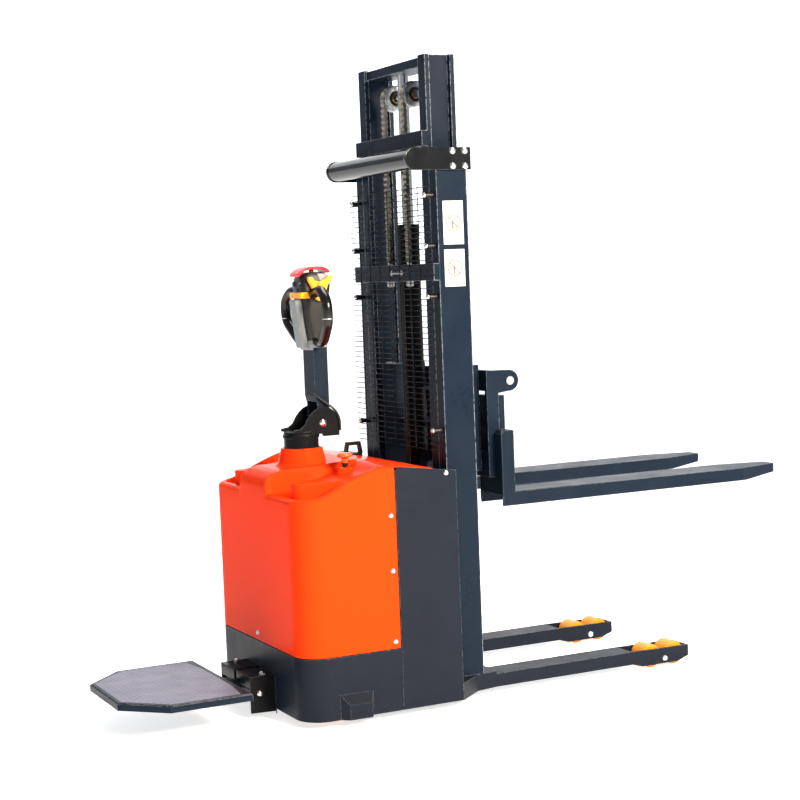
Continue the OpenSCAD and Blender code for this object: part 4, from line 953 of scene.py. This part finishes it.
# Weld metal under a thin coat: rippled, with pale crests.
weld_steel = painted_steel("painted_weld_bead", "#1C2633", "#A4AAB0", roughness=0.34, wear_and_highlight=1.2, peel_mm=1.5)
SKIRT_Y = 0.3824
truck_welds = []
for side in (-1, 1):
    seams = [([(HOOD_FRONT + 0.0015, SKIRT_Y, 0.040), (HOOD_FRONT + 0.0045, SKIRT_Y, 0.212)], 0.0022, 3),
             ([(MAST_X - 0.110, 0.2995, 1.372), (MAST_X - 0.110, 0.2995, 1.425)], 0.0030, 4),
             ([(MAST_X - 0.140, 0.132, 0.050), (MAST_X - 0.140, 0.132, 0.060)], 0.0015, 5),
             ([(HOOD_REAR - 0.0005, 0.1325, 0.010), (HOOD_REAR - 0.0005, 0.1325, 0.137)], 0.0020, 6)]
    for path, size, seed in seams:
        truck_welds.append(weld_bead([(x, side * y, z) for x, y, z in path], size, seed))
truck_welds = join("truck_welds", *truck_welds)
give(truck_welds, weld_steel, "frame_paint", "truck")
fork_welds = []
for side in (-1, 1):
    for y in (0.150, 0.302):
        path = [(MAST_X + 0.0955, side * y, 0.8695), (MAST_X + 0.1395, side * y, 0.8695)]
        fork_welds.append(weld_bead(path, 0.0024, 7))
        fork_welds.append(weld_bead([(MAST_X + 0.1395, side * y, 0.8695), (MAST_X + 0.1395, side * y, 0.667),
                                     (MAST_X + 0.480, side * y, 0.6655)], 0.0022, 8))
        path = [(MAST_X + 0.0955, side * y, 0.8695), (MAST_X + 0.0955, side * y, 0.630)]
        fork_welds.append(weld_bead(path, 0.0022, 9))
fork_welds = join("fork_welds", *fork_welds)
give(fork_welds, weld_steel, "fork_paint", "carriage")


# ---- Operator platform ----
# A folded steel deck with a grey rubber mat that has a raised diamond tread.

# Moulded rubber: dull violet-grey.
mat_rubber = moulded_plastic("grey_tread_rubber", "#5A5C72", 0.42, grain_mm=1.4, grain=0.25)
MAT_FRONT = 0.8235
MAT_Z = 0.1228
DIAMOND_H = 0.0013
base_rim = [(-0.0072, 0, 0), (0, -0.0022, 0), (0.0072, 0, 0), (0, 0.0022, 0)]
top_rim = [(-0.0038, 0, 1), (0, -0.0009, 1), (0.0038, 0, 1), (0, 0.0009, 1)]
sides = ((0, 1, 5, 4), (1, 2, 6, 5), (2, 3, 7, 6), (3, 0, 4, 7), (4, 5, 6, 7), (3, 2, 1, 0))
slant = math.cos(math.radians(45))
vertices, faces = [], []
for i in range(22):
    x = -0.862 - 0.0160 * i
    for j in range(-15, 16):
        y = 0.0175 * j + (0.00875 if i % 2 else 0.0)
        back = -x - MAT_FRONT
        cut = max(0.0, back - 0.265)
        if abs(y) > 0.264 - cut * 0.985 or back > 0.383:
            continue
        base = len(vertices)
        c, q = slant, slant * (1 if (i + j) % 2 else -1)
        for u, v, h in base_rim + top_rim:
            vertices.append((x + u * c - v * q, y + u * q + v * c, MAT_Z + DIAMOND_H * h))
        faces += [[base + a for a in f] for f in sides]
tread = mesh_piece("mat_tread", vertices, faces)
mat_line = [(-0.842, -0.140), (-0.858, -0.262), (-1.0805, -0.262), (-1.2035, -0.141), (-1.2035, 0.141),
            (-1.0805, 0.262), (-0.858, 0.262), (-0.842, 0.140)]
mat_sheet = plate_piece("mat_sheet", mat_line, "z", 0.1226, 0.1236, 0.0004, 1)
tread = join("mat_tread", tread, mat_sheet)
give(tread, mat_rubber, "platform_grey", "platform")


# ---- Chain pulleys ----
# Turned steel wheels, zinc-plated, with a black sealed bearing and a bronze bush on the axle.

# Sintered bronze, oil-soaked: brown-gold and dull.
bronze = plated_metal("bronze_bush", "#8A6A3C", 0.34)
half = [(0.0240, 0.0150), (0.0255, 0.0176), (0.0400, 0.0180), (0.0424, 0.0172), (0.0424, 0.0150),
        (0.0405, 0.0146), (0.0322, 0.0144)]
groove = [(r, -h) for r, h in half] + [(r, h) for r, h in reversed(half)] + [(0.0240, -0.0150)]
seal_profile = [(0.0160, -0.0128), (0.0236, -0.0136), (0.0236, 0.0136), (0.0160, 0.0128), (0.0160, -0.0128)]
bush_profile = [(0.0127, -0.0175), (0.0152, -0.0170), (0.0158, -0.0150), (0.0158, 0.0150), (0.0152, 0.0170),
                (0.0127, 0.0175), (0.0127, -0.0175)]
pulleys, seals, bushes = [], [], []
for side in (-1, 1):
    axle = (PULLEY_X, side * CHAIN_Y, PULLEY_Z)
    pulleys.append(turned_piece("pulley", groove, axle, "y", 56))
    seals.append(turned_piece("seal", seal_profile, axle, "y", 40))
    bushes.append(turned_piece("bush", bush_profile, axle, "y", 40))
pulleys = join("pulley_wheels", *pulleys)
give(pulleys, zinc, "zinc", "chain_pulleys", "chain_pulleys")
seals = join("pulley_seals", *seals)
give(seals, black_abs, "steel", "chain_pulleys")
bushes = join("pulley_bushes", *bushes)
give(bushes, bronze, "steel", "chain_pulleys")
